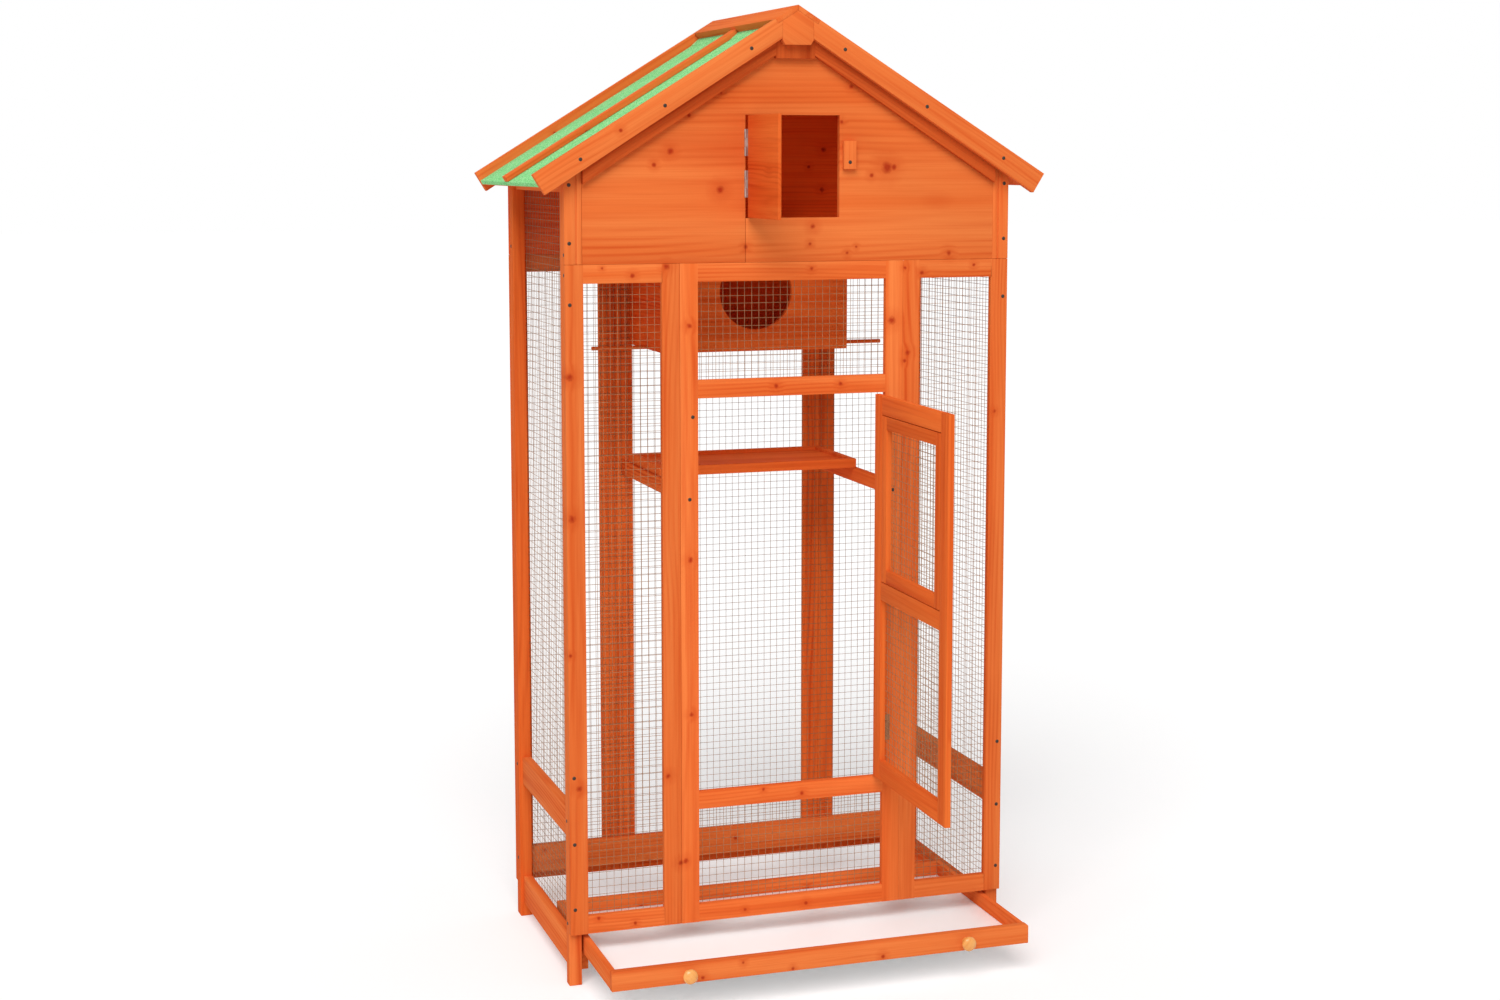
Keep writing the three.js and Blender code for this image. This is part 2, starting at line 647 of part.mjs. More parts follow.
// Tray on the runners, its front board drawn forward by the pull
function addTray() {
  const tray = new THREE.Group();
  tray.position.set(0, -trayPull, runnerTop + seat);
  cage.add(tray);
  const outer = railInner - trayClearance;
  const frontHalf = outer + trayFrontLap;
  const front = new THREE.Shape();
  const r = trayFrontRound;
  front.moveTo(-frontHalf, 0);
  front.lineTo(frontHalf, 0);
  front.lineTo(frontHalf, trayFrontHeight - r);
  front.absarc(frontHalf - r, trayFrontHeight - r, r, 0, Math.PI / 2);
  front.absarc(-frontHalf + r, trayFrontHeight - r, r, Math.PI / 2, Math.PI);
  mesh(tray, 'tray_front', upright(front, 0, trayFrontThick), wood);

  const inner = outer - traySide;
  const [y0, y1] = [trayFrontThick + seat, trayDepth];
  const rim = outline([
    [-outer, y0], [-inner, y0], [-inner, y1 - traySide], [inner, y1 - traySide],
    [inner, y0], [outer, y0], [outer, y1], [-outer, y1],
  ]);
  const groove = box(-inner - trayRebate, inner + trayRebate, y0 - overrun, y1 - traySide + trayRebate,
    traySheetLift - seat, traySheetLift + traySheet + seat);
  mesh(tray, 'tray_rim',
    fromSolid(toSolid(standing(rim, 0, traySideHeight)).subtract(toSolid(groove))), wood);
  mesh(tray, 'tray_sheet',
    box(-inner - trayRebate + seat, inner + trayRebate - seat, y0, y1 - traySide + trayRebate - seat,
      traySheetLift, traySheetLift + traySheet), sheet);

  [-1, 1].forEach((side) => {
    const name = side < 0 ? 'left' : 'right';
    const profile = new THREE.Shape();
    profile.moveTo(0, 0);
    profile.lineTo(knobNeck, 0);
    knobCurveShares.forEach(([bendRadius, bendLength, endRadius, endLength]) => profile.quadraticCurveTo(
      bendRadius * knobRadius, bendLength * knobLength, endRadius * knobRadius, endLength * knobLength));
    const knob = new THREE.LatheGeometry(profile.getPoints(4), 20);
    knob.rotateX(Math.PI);
    knob.translate(knobShift + side * (frontHalf - knobInset), -seat, trayFrontHeight / 2);
    mesh(tray, `knob_${name}`, knob, varnishedWood);
  });
}

// Net sheets of the fixed walls, behind the frames and inside the side rails
function addNets() {
  const windowTop = wallTop - member + netLap;
  const windowFoot = frontFrameBottom + member - netLap;
  [-1, 1].forEach((side) => {
    const name = side < 0 ? 'left' : 'right';
    const outer = side * (half - member + netLap - seat);
    const inner = side * (centreHalf + member - netLap);
    mesh(cage, `net_front_${name}`,
      net(Math.min(outer, inner), Math.max(outer, inner), windowFoot, windowTop, netFront), wire);
    mesh(cage, `net_side_${name}`, net(frontPostBack - netLap, rearPostFront + netLap,
      baseRailBottom + railHeight - netLap, roofHeight(half, undersideDepth) - netLap,
      side < 0 ? -railInner + seat : railInner - seat - wireThick, true), wire);
  });
  const across = doorwayHalf + netLap;
  mesh(cage, 'net_center_upper',
    net(-across, across, doorwayTop + member - netLap, windowTop, netFront), wire);
  mesh(cage, 'net_center_lower',
    net(-across, across, windowFoot, doorwayBottom - member + netLap, netFront), wire);
  const rearHalf = railInner - wireThick - 2 * seat;
  mesh(cage, 'net_rear',
    net(-rearHalf, rearHalf, rearFrameBottom + member - netLap, windowTop, netRear - wireThick), wire);
}

addWalls();
addPostsAndRails();
addRoof();
addGables();
addNets();
addDoor();
addGableDoor();
addNestBox();
addShelf();
addTray();

// Whole model about the middle of its own box: the open door reaches furthest forward
const doorFreeEdge = -doorwayHalf + doorGap - doorAxis.x;
const doorReach = doorAxis.y
  + doorFreeEdge * Math.sin(doorAngleRadians)
  + hingeReach * Math.cos(doorAngleRadians);
cage.position.y = -(roofBack + doorReach) / 2;

export default cage;
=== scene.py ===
"""Looks of the wooden birdhouse: stained fir boards, welded wire nets, green felt and small metal parts."""
import json
import math
import random
import zlib

import bmesh
import bpy
from mathutils import Matrix, Vector


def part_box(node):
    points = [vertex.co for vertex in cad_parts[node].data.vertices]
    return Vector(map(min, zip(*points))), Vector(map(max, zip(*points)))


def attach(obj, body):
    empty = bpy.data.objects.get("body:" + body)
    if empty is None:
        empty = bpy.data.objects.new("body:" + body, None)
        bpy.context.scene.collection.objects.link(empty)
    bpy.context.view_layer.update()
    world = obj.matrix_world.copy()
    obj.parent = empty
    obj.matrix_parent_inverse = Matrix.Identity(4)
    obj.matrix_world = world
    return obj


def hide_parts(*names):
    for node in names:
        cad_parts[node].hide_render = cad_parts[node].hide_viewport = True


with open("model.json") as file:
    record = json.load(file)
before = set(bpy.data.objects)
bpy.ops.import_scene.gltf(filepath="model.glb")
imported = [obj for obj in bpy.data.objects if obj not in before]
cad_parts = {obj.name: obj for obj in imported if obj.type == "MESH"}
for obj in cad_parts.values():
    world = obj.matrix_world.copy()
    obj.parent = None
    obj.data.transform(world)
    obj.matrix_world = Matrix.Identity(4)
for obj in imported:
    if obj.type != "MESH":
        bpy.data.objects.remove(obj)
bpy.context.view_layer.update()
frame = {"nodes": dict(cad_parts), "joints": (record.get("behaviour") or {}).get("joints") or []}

MM = 0.001
X_AXIS = Vector((1, 0, 0))
Y_AXIS = Vector((0, 1, 0))
Z_AXIS = Vector((0, 0, 1))
QUARTER_TURN = math.pi / 2

JOINTS = {joint["name"]: joint for joint in frame["joints"]}
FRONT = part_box("front_frame_center")[0].y

# How far the doors stand open at rest, from the shut leaf
DOOR_ANGLE = math.radians(89)
GABLE_DOOR_ANGLE = math.radians(-91.3)

# Rounded edges, in metres and radians; an edge takes no more than ROUND_SHARE of a board's thinnest side
EDGE_ROUND = 0.8 * MM
FINE_ROUND = 0.3 * MM
SEAM_ROUND = 0.12 * MM
FELT_ROUND = 1.5 * MM
LEAF_ROUND = 0.25 * MM
ROUND_SHARE = 0.3
ROUND_PROFILE = 0.6
FLAT_ANGLE = math.radians(1)
SHARP_ANGLE = math.radians(25)
SMOOTH_ANGLE = math.radians(35)

# Joining and cutting of meshes, in metres
MERGE = 0.01 * MM
FINE_MERGE = 0.001 * MM
LATHE_MERGE = 0.0005 * MM
CUT_NUDGE = 0.004 * MM
BEYOND = 10

# A board's place in its log: along the log, to the side of the pith and away from it, in metres
LOG_LENGTH = 40
PITH_SIDE = 0.06
PITH_AWAY = (0.02, 0.09)

# Cosines that tell a board's end faces, an upright board, and the roof's upper faces and underside
END_COSINE = 0.75
UPRIGHT_COSINE = 0.8
SLOPE_COSINE = 0.5
UNDERSIDE_COSINE = -0.7

# The lath under each ridge cap and the felt that rises to it: down the slope, depth under the caps' top
RIDGE_LATH = [(14 * MM, 8 * MM), (44.5 * MM, 8 * MM), (44.5 * MM, 12.4 * MM), (14 * MM, 12.4 * MM)]
RIDGE_FELT = [(14 * MM, 11.9 * MM), (44.3 * MM, 11.9 * MM), (64 * MM, 15.4 * MM), (64 * MM, 16 * MM),
              (14 * MM, 16 * MM)]

# Nets, in metres
WIRE_PITCH = 12.7 * MM
WIRE_RADIUS = 0.38 * MM
WIRE_SIDES = 6

# Joinery that the frame's boxes don't give on their own, in metres
MEMBER = 31 * MM
NET_LAP = 7 * MM
DOOR_GAP = 2 * MM
DOOR_THICK = 10 * MM
DOOR_STILE = 32.5 * MM
HATCH_GAP = 1.5 * MM
HATCH_MEMBER = 22 * MM
TRAY_SIDE = 10 * MM
TRAY_REBATE = 4 * MM
NEST_BOARD = 10 * MM
GUSSET_HALF = 34.5 * MM
CLEARANCE = 0.3 * MM

# The gable's front board, its doorway and the door in it; the seam runs down from the doorway
GABLE_DOORWAY_X = (-84.7 * MM, 82.5 * MM)
GABLE_DOOR_GAP = 1 * MM
GABLE_DOOR_THICK = 5.5 * MM
GABLE_THICK = 11 * MM
GABLE_SEAM = 0.4 * MM
GABLE_FINENESS = 0.55

# Hinges: knuckle radius, width of a leaf, height, and the foot's distance from an end of what they carry
LEAF_THICK = 1.2 * MM
LEAF_SCREW_SHARE = 0.22
KNUCKLE_CHAMFER = 0.15
KNUCKLE_SEGMENTS = 20
KNUCKLE_WEB = (0.4, 1.25)
DOOR_KNUCKLE = 3 * MM
DOOR_LEAF = 16 * MM
HATCH_REACH = 3.2 * MM
HATCH_KNUCKLE = 1.9 * MM
HATCH_LEAF = 9 * MM
HATCH_HINGE_HEIGHT = 28 * MM
HATCH_HINGE_LOWER = 33.2 * MM
HATCH_HINGE_UPPER = 59.4 * MM
GABLE_KNUCKLE = 1.2 * MM
GABLE_LEAF = 1.9 * MM
GABLE_HINGE_HEIGHT = 45 * MM
GABLE_HINGE_FEET = (("lower", 33.2 * MM), ("upper", 101.6 * MM))

# A screw head's half outline, as shares of its radius: out from the middle, height
SCREW_RADIUS = 3.2 * MM
SCREW_DOME = [(0, 0.25), (0.25, 0.25), (0.3, 0.12), (0.34, 0.27), (0.7, 0.22), (0.95, 0.08), (1, 0),
              (0, 0)]
SCREW_SEGMENTS = 16

# Screws, in millimetres from the cabin's left front corner: across or back, height
POST_SCREWS = [(x, z) for x in (8.2, 781.8) for z in (1352, 1257, 1156.6, 363.6, 249, 136)]
STILE_SCREWS = [(217.6, 965), (211.9, 825.8), (572.4, 965), (578.6, 825.8)]
BARGE_SCREWS = [(313.7, 1574.8), (165, 1480.5), (22.5, 1393.4), (478.2, 1575.3), (626.9, 1482),
                (769.6, 1395.3)]
SIDE_SCREWS = [(6, 1238), (6, 1205), (21, 107), (21, 285), (405, 285), (405, 1238), (405, 107)]

# Radius and distance from the tray front along a knob, in millimetres
KNOB_PROFILE = [
    (0, 0), (6.4, 0), (6.1, 1.5), (5.8, 3.2), (5.7, 5), (6, 6.8), (6.9, 8.4), (8.4, 9.8), (10.2, 10.9),
    (11.6, 12.1), (12.3, 13.6), (12.5, 15.2), (12.2, 16.8), (11.4, 18.3), (10, 19.6), (8, 20.6),
    (5.6, 21.4), (2.9, 21.9), (0, 22),
]
KNOB_SEGMENTS = 48

# Knots, in millimetres: across from the middle, height, radius
FRONT_KNOTS = [
    (168, 1380, 9.5), (181, 1380, 5), (141, 1366, 4), (97, 1236, 3.3), (113, 1246, 2.5), (284, 1233, 5),
    (-84, 1248, 4), (30, 1252, 3.3), (86, 1456, 3.3), (35, 1281, 5), (-215, 1406, 5.5), (-243, 1384, 3.8),
    (-129, 1342, 7), (-325, 1381, 2.5), (33, 1210, 3.3), (203, 1209, 3), (234, 1200, 4), (103, 1515, 4),
    (235, 1446, 3.3), (-127, 1503, 3.3), (-183, 1465, 3.3), (-280, 1203, 4), (-332, 1216, 2.5),
    (-222, 1217, 5), (-183, 1118, 4.6), (-388, 1038, 6.6), (-386, 803, 6.6), (-391, 573, 3.3),
    (-182, 723, 5), (-378, 345, 5), (-223, 354, 5), (-181, 457, 4.2), (-201, 200, 5), (-192, 202, 5),
    (-346, 118, 3.3),
    (-282, 102, 3.3), (331, 1212, 3.3), (179, 1119, 7), (209, 1063, 5), (203, 1049, 3.7), (374, 956, 3.5),
    (-146, 77.7, 3), (-59.5, 57.5, 3), (101, 60, 4), (-216, 60, 4), (-52, 315, 3.3), (18, 302, 4),
    (26, 105, 4), (-86, 105, 3), (-30, 1013, 4.5), (86, 1013, 4),
]
BARGE_KNOTS = [(-305, 1440, 3.5)]
REAR_GABLE_KNOTS = [(206, 1411, 5), (203, 1336, 4.5), (177, 1379, 3.5)]

# Camera: the photograph's size, focal length and optical row in pixels, its angles and its place
PHOTO_WIDTH = 1500
PHOTO_HEIGHT = 1000
FOCAL_PIXELS = 2258.7
OPTICAL_ROW = 421
SENSOR = 36
CAMERA_YAW = math.radians(18.315)
CAMERA_PITCH = math.radians(6.645)
CAMERA_PLACE = Vector((-1.26589, -3.5927 + FRONT, 1.39581))
CAMERA_SIGHT = 50

# Floor and light
FLOOR_HALF = 40
FLOOR_DROP = 0.4 * MM
FLOOR_BOUNCE = (0.94, 0.94, 0.94, 1)
FLOOR_SEEN = (0.78, 0.78, 0.78, 1)
FLOOR_LIFT = 0.27
FLOOR_ROUGH = 0.9
WHITE = (1, 1, 1, 1)
AMBIENT = 0.42
SUN_STRENGTH = 2.45
SUN_FROM = (-0.3, -0.62, 0.72)
SUN_ANGLE = math.radians(42)


def seeded(name):
    return random.Random(zlib.crc32(name.encode()))


def add_camera():
    data = bpy.data.cameras.new("camera")
    data.sensor_width = SENSOR
    data.lens = FOCAL_PIXELS / PHOTO_WIDTH * SENSOR
    data.shift_y = (OPTICAL_ROW - PHOTO_HEIGHT / 2) / PHOTO_WIDTH
    data.clip_end = CAMERA_SIGHT
    camera = bpy.data.objects.new("camera", data)
    bpy.context.scene.collection.objects.link(camera)
    forward = Vector((
        math.sin(CAMERA_YAW) * math.cos(CAMERA_PITCH),
        math.cos(CAMERA_YAW) * math.cos(CAMERA_PITCH),
        -math.sin(CAMERA_PITCH),
    ))
    camera.location = CAMERA_PLACE
    camera.rotation_mode = "QUATERNION"
    camera.rotation_quaternion = forward.to_track_quat("-Z", "Y")
    bpy.context.scene.camera = camera


class Nodes:
    """Short way to write a material's node tree."""

    def __init__(self, name):
        self.material = bpy.data.materials.new(name)
        self.material.use_nodes = True
        self.tree = self.material.node_tree
        self.shader = self.tree.nodes["Principled BSDF"]

    def add(self, kind, values=(), **settings):
        node = self.tree.nodes.new(kind)
        for key, value in settings.items():
            setattr(node, key, value)
        for key, value in dict(values).items():
            if isinstance(value, bpy.types.NodeSocket):
                self.tree.links.new(value, node.inputs[key])
            else:
                node.inputs[key].default_value = value
        return node

    def math(self, operation, a, b=0.0, c=0.0):
        return self.add("ShaderNodeMath", {0: a, 1: b, 2: c}, operation=operation).outputs[0]

    def mix(self, factor, a, b, blend="MIX"):
        node = self.add("ShaderNodeMix", data_type="RGBA", blend_type=blend)
        for index, value in ((0, factor), (6, a), (7, b)):
            if isinstance(value, bpy.types.NodeSocket):
                self.tree.links.new(value, node.inputs[index])
            else:
                node.inputs[index].default_value = value
        return node.outputs[2]

    def noise(self, vector, scale, detail=2.0, roughness=0.5):
        values = {"Vector": vector, "Scale": scale, "Detail": detail, "Roughness": roughness}
        return self.add("ShaderNodeTexNoise", values).outputs["Fac"]

    def stretch(self, vector, scale):
        node = self.add("ShaderNodeMapping", {"Vector": vector, "Scale": scale})
        return node.outputs["Vector"]

    def ramp(self, value, low, high):
        node = self.add("ShaderNodeMapRange", {"Value": value, "From Min": low, "From Max": high})
        return node.outputs["Result"]

    def fade(self, value, reach):
        """1 before a reach and 0 after it."""
        return self.math("SUBTRACT", 1.0, self.ramp(value, *reach))

    def figure(self, grain, pattern):
        """A noise of the wood's figure."""
        scale, detail, roughness = pattern
        return self.noise(self.stretch(grain, scale), 1.0, detail, roughness)

    def nearest_knot(self, grain, knots):
        """Ragged distance to the nearest of the placed knots, in its radii, seen along Y."""
        across, _, height = self.add("ShaderNodeSeparateXYZ", {0: self.place()}).outputs
        flat = self.add("ShaderNodeCombineXYZ", {0: across, 1: 0.0, 2: height}).outputs[0]
        nearest = NO_KNOT
        for x, z, radius in knots:
            away = self.add("ShaderNodeVectorMath", {0: flat, 1: (x * MM, 0, z * MM)}, operation="DISTANCE")
            nearest = self.math("MINIMUM", nearest, self.math("DIVIDE", away.outputs["Value"], radius * MM))
        ragged = self.math("MULTIPLY_ADD", self.noise(grain, RAGGED_SCALE), KNOT_RAGGED, -KNOT_RAGGED / 2)
        return self.math("ADD", nearest, ragged)

    def place(self):
        return self.add("ShaderNodeTexCoord").outputs["Object"]

    def set(self, **values):
        for key, value in values.items():
            socket = self.shader.inputs[key.replace("_", " ")]
            if isinstance(value, bpy.types.NodeSocket):
                self.tree.links.new(value, socket)
            else:
                socket.default_value = value

    def bump(self, height, strength, distance):
        node = self.add("ShaderNodeBump", {"Height": height, "Strength": strength, "Distance": distance})
        self.tree.links.new(node.outputs["Normal"], self.shader.inputs["Normal"])


def srgb(red, green, blue):
    def linear(value):
        value /= 255
        return value / 12.92 if value <= 0.04045 else ((value + 0.055) / 1.055) ** 2.4
    return (linear(red), linear(green), linear(blue), 1.0)


# Figure of the wood: noises drawn out along the grain, each as scale, detail and roughness
DRIFT = ((1.1, 7.0, 7.0), 2.0, 0.5)
FIBRES = ((9.0, 700.0, 700.0), 2.0, 0.6)
STREAKS = ((1.2, 42.0, 42.0), 4.0, 0.62)
CLOUD = ((2.4, 16.0, 16.0), 1.5, 0.5)
RUDDY = ((1.6, 55.0, 55.0), 3.0, 0.6)

# Noise values between which each part of the figure comes up
STREAK_RANGE = (0.36, 0.66)
BREAK_RANGE = (0.66, 0.36)
CLOUD_RANGE = (0.34, 0.64)
FIBRE_RANGE = (0.45, 0.75)
RUDDY_RANGE = (0.52, 0.72)

# How far each part of the figure goes to its darker colour
RING_DARK = 0.85
FIBRE_DARK = 0.25
RUDDY_DARK = 0.5
HALO_DARK = 0.4
KNOT_DARK = 0.9
END_DARK = 0.12

# Rings: waves per metre, their drift, how far a knot pushes them and how narrow the late wood is
RING_WAVE = 2 * math.pi / (6.5 * MM)
RING_DRIFT = 0.06
RING_PUSH = 0.003
LATE_POWER = 2.2

# Knots made by chance, in cells per metre and shares of a cell, and the reach of a knot in its radii
KNOT_CELLS = (7.0, 14.0, 14.0)
KNOT_CHANCE = 0.14
KNOT_SPREAD = 0.05
KNOT_LEAST = 0.035
CORE_REACH = (0.5, 1.25)
HALO_REACH = (0.8, 3.6)
PLACED_CORE_REACH = (0.3, 1.2)
PLACED_HALO_REACH = (0.8, 4.0)
KNOT_RAGGED = 1.2
RAGGED_SCALE = 160.0
NO_KNOT = 10.0

# Tone of a board by its own tint, and the wood's gloss and relief
TINT_SPREAD = 0.14
TINT_LEAST = 0.92
ROUGH_SPREAD = 0.2
WOOD_SPECULAR = 0.03
COAT_ROUGH = 0.2
LATE_RELIEF = 0.3
WOOD_BUMP = 0.3
BUMP_DEPTH = 0.2 * MM


def wood_material(name, pale, main, dark, knot, roughness=0.75, coat=0.0, knots=()):
    """Stained fir: rings round each board's own pith, fibres and knots, by its grain attribute."""
    n = Nodes(name)
    grain = n.add("ShaderNodeAttribute", attribute_name="grain").outputs["Vector"]
    tint = n.add("ShaderNodeAttribute", attribute_name="tint").outputs["Fac"]
    ends = n.add("ShaderNodeAttribute", attribute_name="endgrain").outputs["Fac"]

    # Knots: sparse cells, drawn out a little along the grain, that also push the rings aside
    cells = n.stretch(grain, KNOT_CELLS)
    voronoi = n.add("ShaderNodeTexVoronoi", {"Vector": cells, "Scale": 1.0}, feature="F1")
    chance = n.add("ShaderNodeSeparateColor", {0: voronoi.outputs["Color"]})
    present = n.math("LESS_THAN", chance.outputs[0], KNOT_CHANCE)
    size = n.math("MULTIPLY_ADD", chance.outputs[1], KNOT_SPREAD, KNOT_LEAST)
    near = n.math("DIVIDE", voronoi.outputs["Distance"], size)
    core = n.math("MULTIPLY", n.fade(near, CORE_REACH), present)
    halo = n.math("MULTIPLY", n.fade(near, HALO_REACH), present)
    if knots:
        nearest = n.nearest_knot(grain, knots)
        core = n.math("MAXIMUM", core, n.fade(nearest, PLACED_CORE_REACH))
        halo = n.math("MAXIMUM", halo, n.fade(nearest, PLACED_HALO_REACH))

    # Rings: distance from the pith, bent by a slow drift along the board
    parts = n.add("ShaderNodeSeparateXYZ", {0: grain})
    flat = n.add("ShaderNodeCombineXYZ", {0: 0.0, 1: parts.outputs[1], 2: parts.outputs[2]})
    radius = n.add("ShaderNodeVectorMath", {0: flat.outputs[0]}, operation="LENGTH").outputs["Value"]
    bent = n.math("MULTIPLY_ADD", n.figure(grain, DRIFT), RING_DRIFT, radius)
    pushed = n.math("MULTIPLY_ADD", halo, RING_PUSH, bent)
    wave = n.math("SINE", n.math("MULTIPLY", pushed, RING_WAVE))
    late = n.math("POWER", n.math("MULTIPLY_ADD", wave, 0.5, 0.5), LATE_POWER)
    fibres = n.figure(grain, FIBRES)
    streaks = n.figure(grain, STREAKS)
    cloud = n.figure(grain, CLOUD)
    ruddy = n.figure(grain, RUDDY)

    colour = n.mix(n.ramp(streaks, *STREAK_RANGE), main, pale)
    broken = n.math("MULTIPLY", n.ramp(cloud, *CLOUD_RANGE), n.ramp(streaks, *BREAK_RANGE))
    layers = (
        (n.math("MULTIPLY", late, n.math("MULTIPLY", broken, RING_DARK)), dark),
        (n.math("MULTIPLY", n.ramp(fibres, *FIBRE_RANGE), FIBRE_DARK), dark),
        (n.math("MULTIPLY", n.ramp(ruddy, *RUDDY_RANGE), RUDDY_DARK), dark),
        (n.math("MULTIPLY", halo, HALO_DARK), dark),
        (n.math("MULTIPLY", core, KNOT_DARK), knot),
        (n.math("MULTIPLY", ends, END_DARK), dark),
    )
    for share, stain in layers:
        colour = n.mix(share, colour, stain)
    shade = n.math("MULTIPLY_ADD", tint, TINT_SPREAD, TINT_LEAST)
    grey = n.add("ShaderNodeCombineColor", {0: shade, 1: shade, 2: shade})
    colour = n.mix(1.0, colour, grey.outputs[0], "MULTIPLY")
    rough = n.math("MULTIPLY_ADD", fibres, ROUGH_SPREAD, roughness - ROUGH_SPREAD / 2)
    n.set(Base_Color=colour, Roughness=rough)
    n.set(Specular_IOR_Level=WOOD_SPECULAR, Coat_Weight=coat, Coat_Roughness=COAT_ROUGH)
    n.bump(n.math("MULTIPLY_ADD", late, LATE_RELIEF, fibres), WOOD_BUMP, BUMP_DEPTH)
    return n.material


# Felt: grains per metre, shares of pale and dark grains, and darker clouds
FELT_GRAINS = 620.0
PALE_GRAINS = 0.9
DARK_GRAINS = 0.94
FELT_CLOUD = (26.0, 4.0, 0.6)
FELT_CLOUD_RANGE = (0.4, 0.75)
FELT_CLOUD_DARK = 0.35
FELT_ROUGH = 0.93
FELT_SPECULAR = 0.25
FELT_BUMP = 0.5
FELT_DEPTH = 0.5 * MM


def felt_material():
    n = Nodes("green_felt")
    place = n.place()
    grit = n.add("ShaderNodeTexVoronoi", {"Vector": place, "Scale": FELT_GRAINS}, feature="F1")
    chance = n.add("ShaderNodeSeparateColor", {0: grit.outputs["Color"]})
    cloud = n.ramp(n.noise(place, *FELT_CLOUD), *FELT_CLOUD_RANGE)
    colour = n.mix(chance.outputs[0], srgb(116, 206, 124), srgb(154, 230, 152))
    colour = n.mix(n.math("GREATER_THAN", chance.outputs[1], PALE_GRAINS), colour, srgb(206, 246, 196))
    colour = n.mix(n.math("GREATER_THAN", chance.outputs[2], DARK_GRAINS), colour, srgb(66, 150, 84))
    colour = n.mix(n.math("MULTIPLY", cloud, FELT_CLOUD_DARK), colour, srgb(92, 186, 104))
    n.set(Base_Color=colour, Roughness=FELT_ROUGH, Specular_IOR_Level=FELT_SPECULAR)
    n.bump(n.math("SUBTRACT", 1.0, grit.outputs["Distance"]), FELT_BUMP, FELT_DEPTH)
    return n.material


# Metal: detail and roughness of its spangle, the values between which it turns bright, its gloss's spread
SPANGLE = (3.0, 0.6)
SPANGLE_RANGE = (0.3, 0.7)
SPANGLE_SPREAD = 0.25
SPANGLE_MIDDLE = 0.12


def metal_material(name, dull, bright, roughness, scale, metallic=1.0, gloss=0.5):
    n = Nodes(name)
    spangle = n.noise(n.place(), scale, *SPANGLE)
    n.set(Base_Color=n.mix(n.ramp(spangle, *SPANGLE_RANGE), dull, bright))
    rough = n.math("MULTIPLY_ADD", spangle, SPANGLE_SPREAD, roughness - SPANGLE_MIDDLE)
    n.set(Metallic=metallic, Roughness=rough)
    n.set(Specular_IOR_Level=gloss)
    return n.material


# White sheet: broad clouds and a fine surface, each as scale, detail and roughness
SHEET_CLOUD = (7.0, 3.0, 0.55)
SHEET_CLOUD_RANGE = (0.3, 0.7)
SHEET_FINE = (240.0, 2.0, 0.6)
SHEET_ROUGH_SPREAD = 0.15
SHEET_ROUGH = 0.32
SHEET_BUMP = 0.08


def sheet_material():
    n = Nodes("white_sheet")
    place = n.place()
    cloud = n.ramp(n.noise(place, *SHEET_CLOUD), *SHEET_CLOUD_RANGE)
    fine = n.noise(place, *SHEET_FINE)
    n.set(Base_Color=n.mix(cloud, srgb(250, 254, 254), srgb(252, 255, 255)))
    n.set(Roughness=n.math("MULTIPLY_ADD", fine, SHEET_ROUGH_SPREAD, SHEET_ROUGH))
    n.bump(fine, SHEET_BUMP, BUMP_DEPTH)
    return n.material


KNOT_RED = srgb(170, 48, 20)
# Darker knots for the copies of the fir with painted shade: the nest's, then the shaded fir's
NEST_KNOT_SHADE_PAINTED = srgb(150, 24, 6)
SHADED_KNOT = srgb(134, 34, 12)
WOOD = wood_material("stained_fir", srgb(234, 126, 64), srgb(225, 106, 47), srgb(204, 76, 28), KNOT_RED,
                     knots=FRONT_KNOTS)
TRIM = wood_material("stained_trim", srgb(238, 130, 66), srgb(230, 110, 50), srgb(208, 80, 30), KNOT_RED,
                     knots=BARGE_KNOTS)
LEAF = wood_material("door_fir", srgb(234, 118, 52), srgb(224, 99, 39), srgb(198, 70, 22), KNOT_RED)
# Deeper red copy of the fir: painted shade of the nest's inside and of the rear gable seen through the
# doorway
NEST_FIR_SHADE_PAINTED = wood_material("nest_fir_shade_painted", srgb(240, 98, 34), srgb(234, 82, 24), srgb(206, 56, 14), NEST_KNOT_SHADE_PAINTED,
                     knots=REAR_GABLE_KNOTS)
# Darker, redder copy of the fir: painted shade for the rear frames and posts, the pieces inside, the gable
# door and the roof's underside
SHADE_PAINTED_FIR = wood_material("shaded_fir", srgb(234, 114, 50), srgb(225, 97, 37), srgb(194, 66, 20), SHADED_KNOT)
# Darker copy of the fir: painted shade of the rafters under the barges' overhang
RAFTER_FIR_SHADE_PAINTED = wood_material("rafter_fir_shade_painted", srgb(214, 98, 44), srgb(198, 82, 32), srgb(166, 56, 20), KNOT_RED)
KNOB = wood_material("varnished_beech", srgb(238, 174, 98), srgb(230, 156, 76), srgb(204, 124, 52),
                     srgb(170, 98, 38), roughness=0.25, coat=0.9)
FELT = felt_material()
STEEL = metal_material("galvanised_steel", (0.42, 0.41, 0.39, 1), (0.62, 0.61, 0.58, 1),
                       roughness=0.42, scale=90.0)
BRONZED = metal_material("bronzed_steel", (0.26, 0.1, 0.04, 1), (0.4, 0.17, 0.07, 1),
                         roughness=0.5, scale=90.0, metallic=0.5)
WIRE = metal_material("wire", (0.26, 0.12, 0.05, 1), (0.44, 0.24, 0.12, 1),
                      roughness=0.6, scale=200.0, metallic=0.0, gloss=0.2)
SCREW = metal_material("screw", (0.035, 0.022, 0.014, 1), (0.075, 0.05, 0.035, 1),
                       roughness=0.6, scale=900.0, metallic=0.4)
SHEET = sheet_material()


def basis(axis):
    """The grain direction and two directions across it."""
    along = Vector(axis).normalized()
    spare = Z_AXIS if abs(along.z) < UPRIGHT_COSINE else Y_AXIS
    across = spare.cross(along).normalized()
    return along, across, along.cross(across)


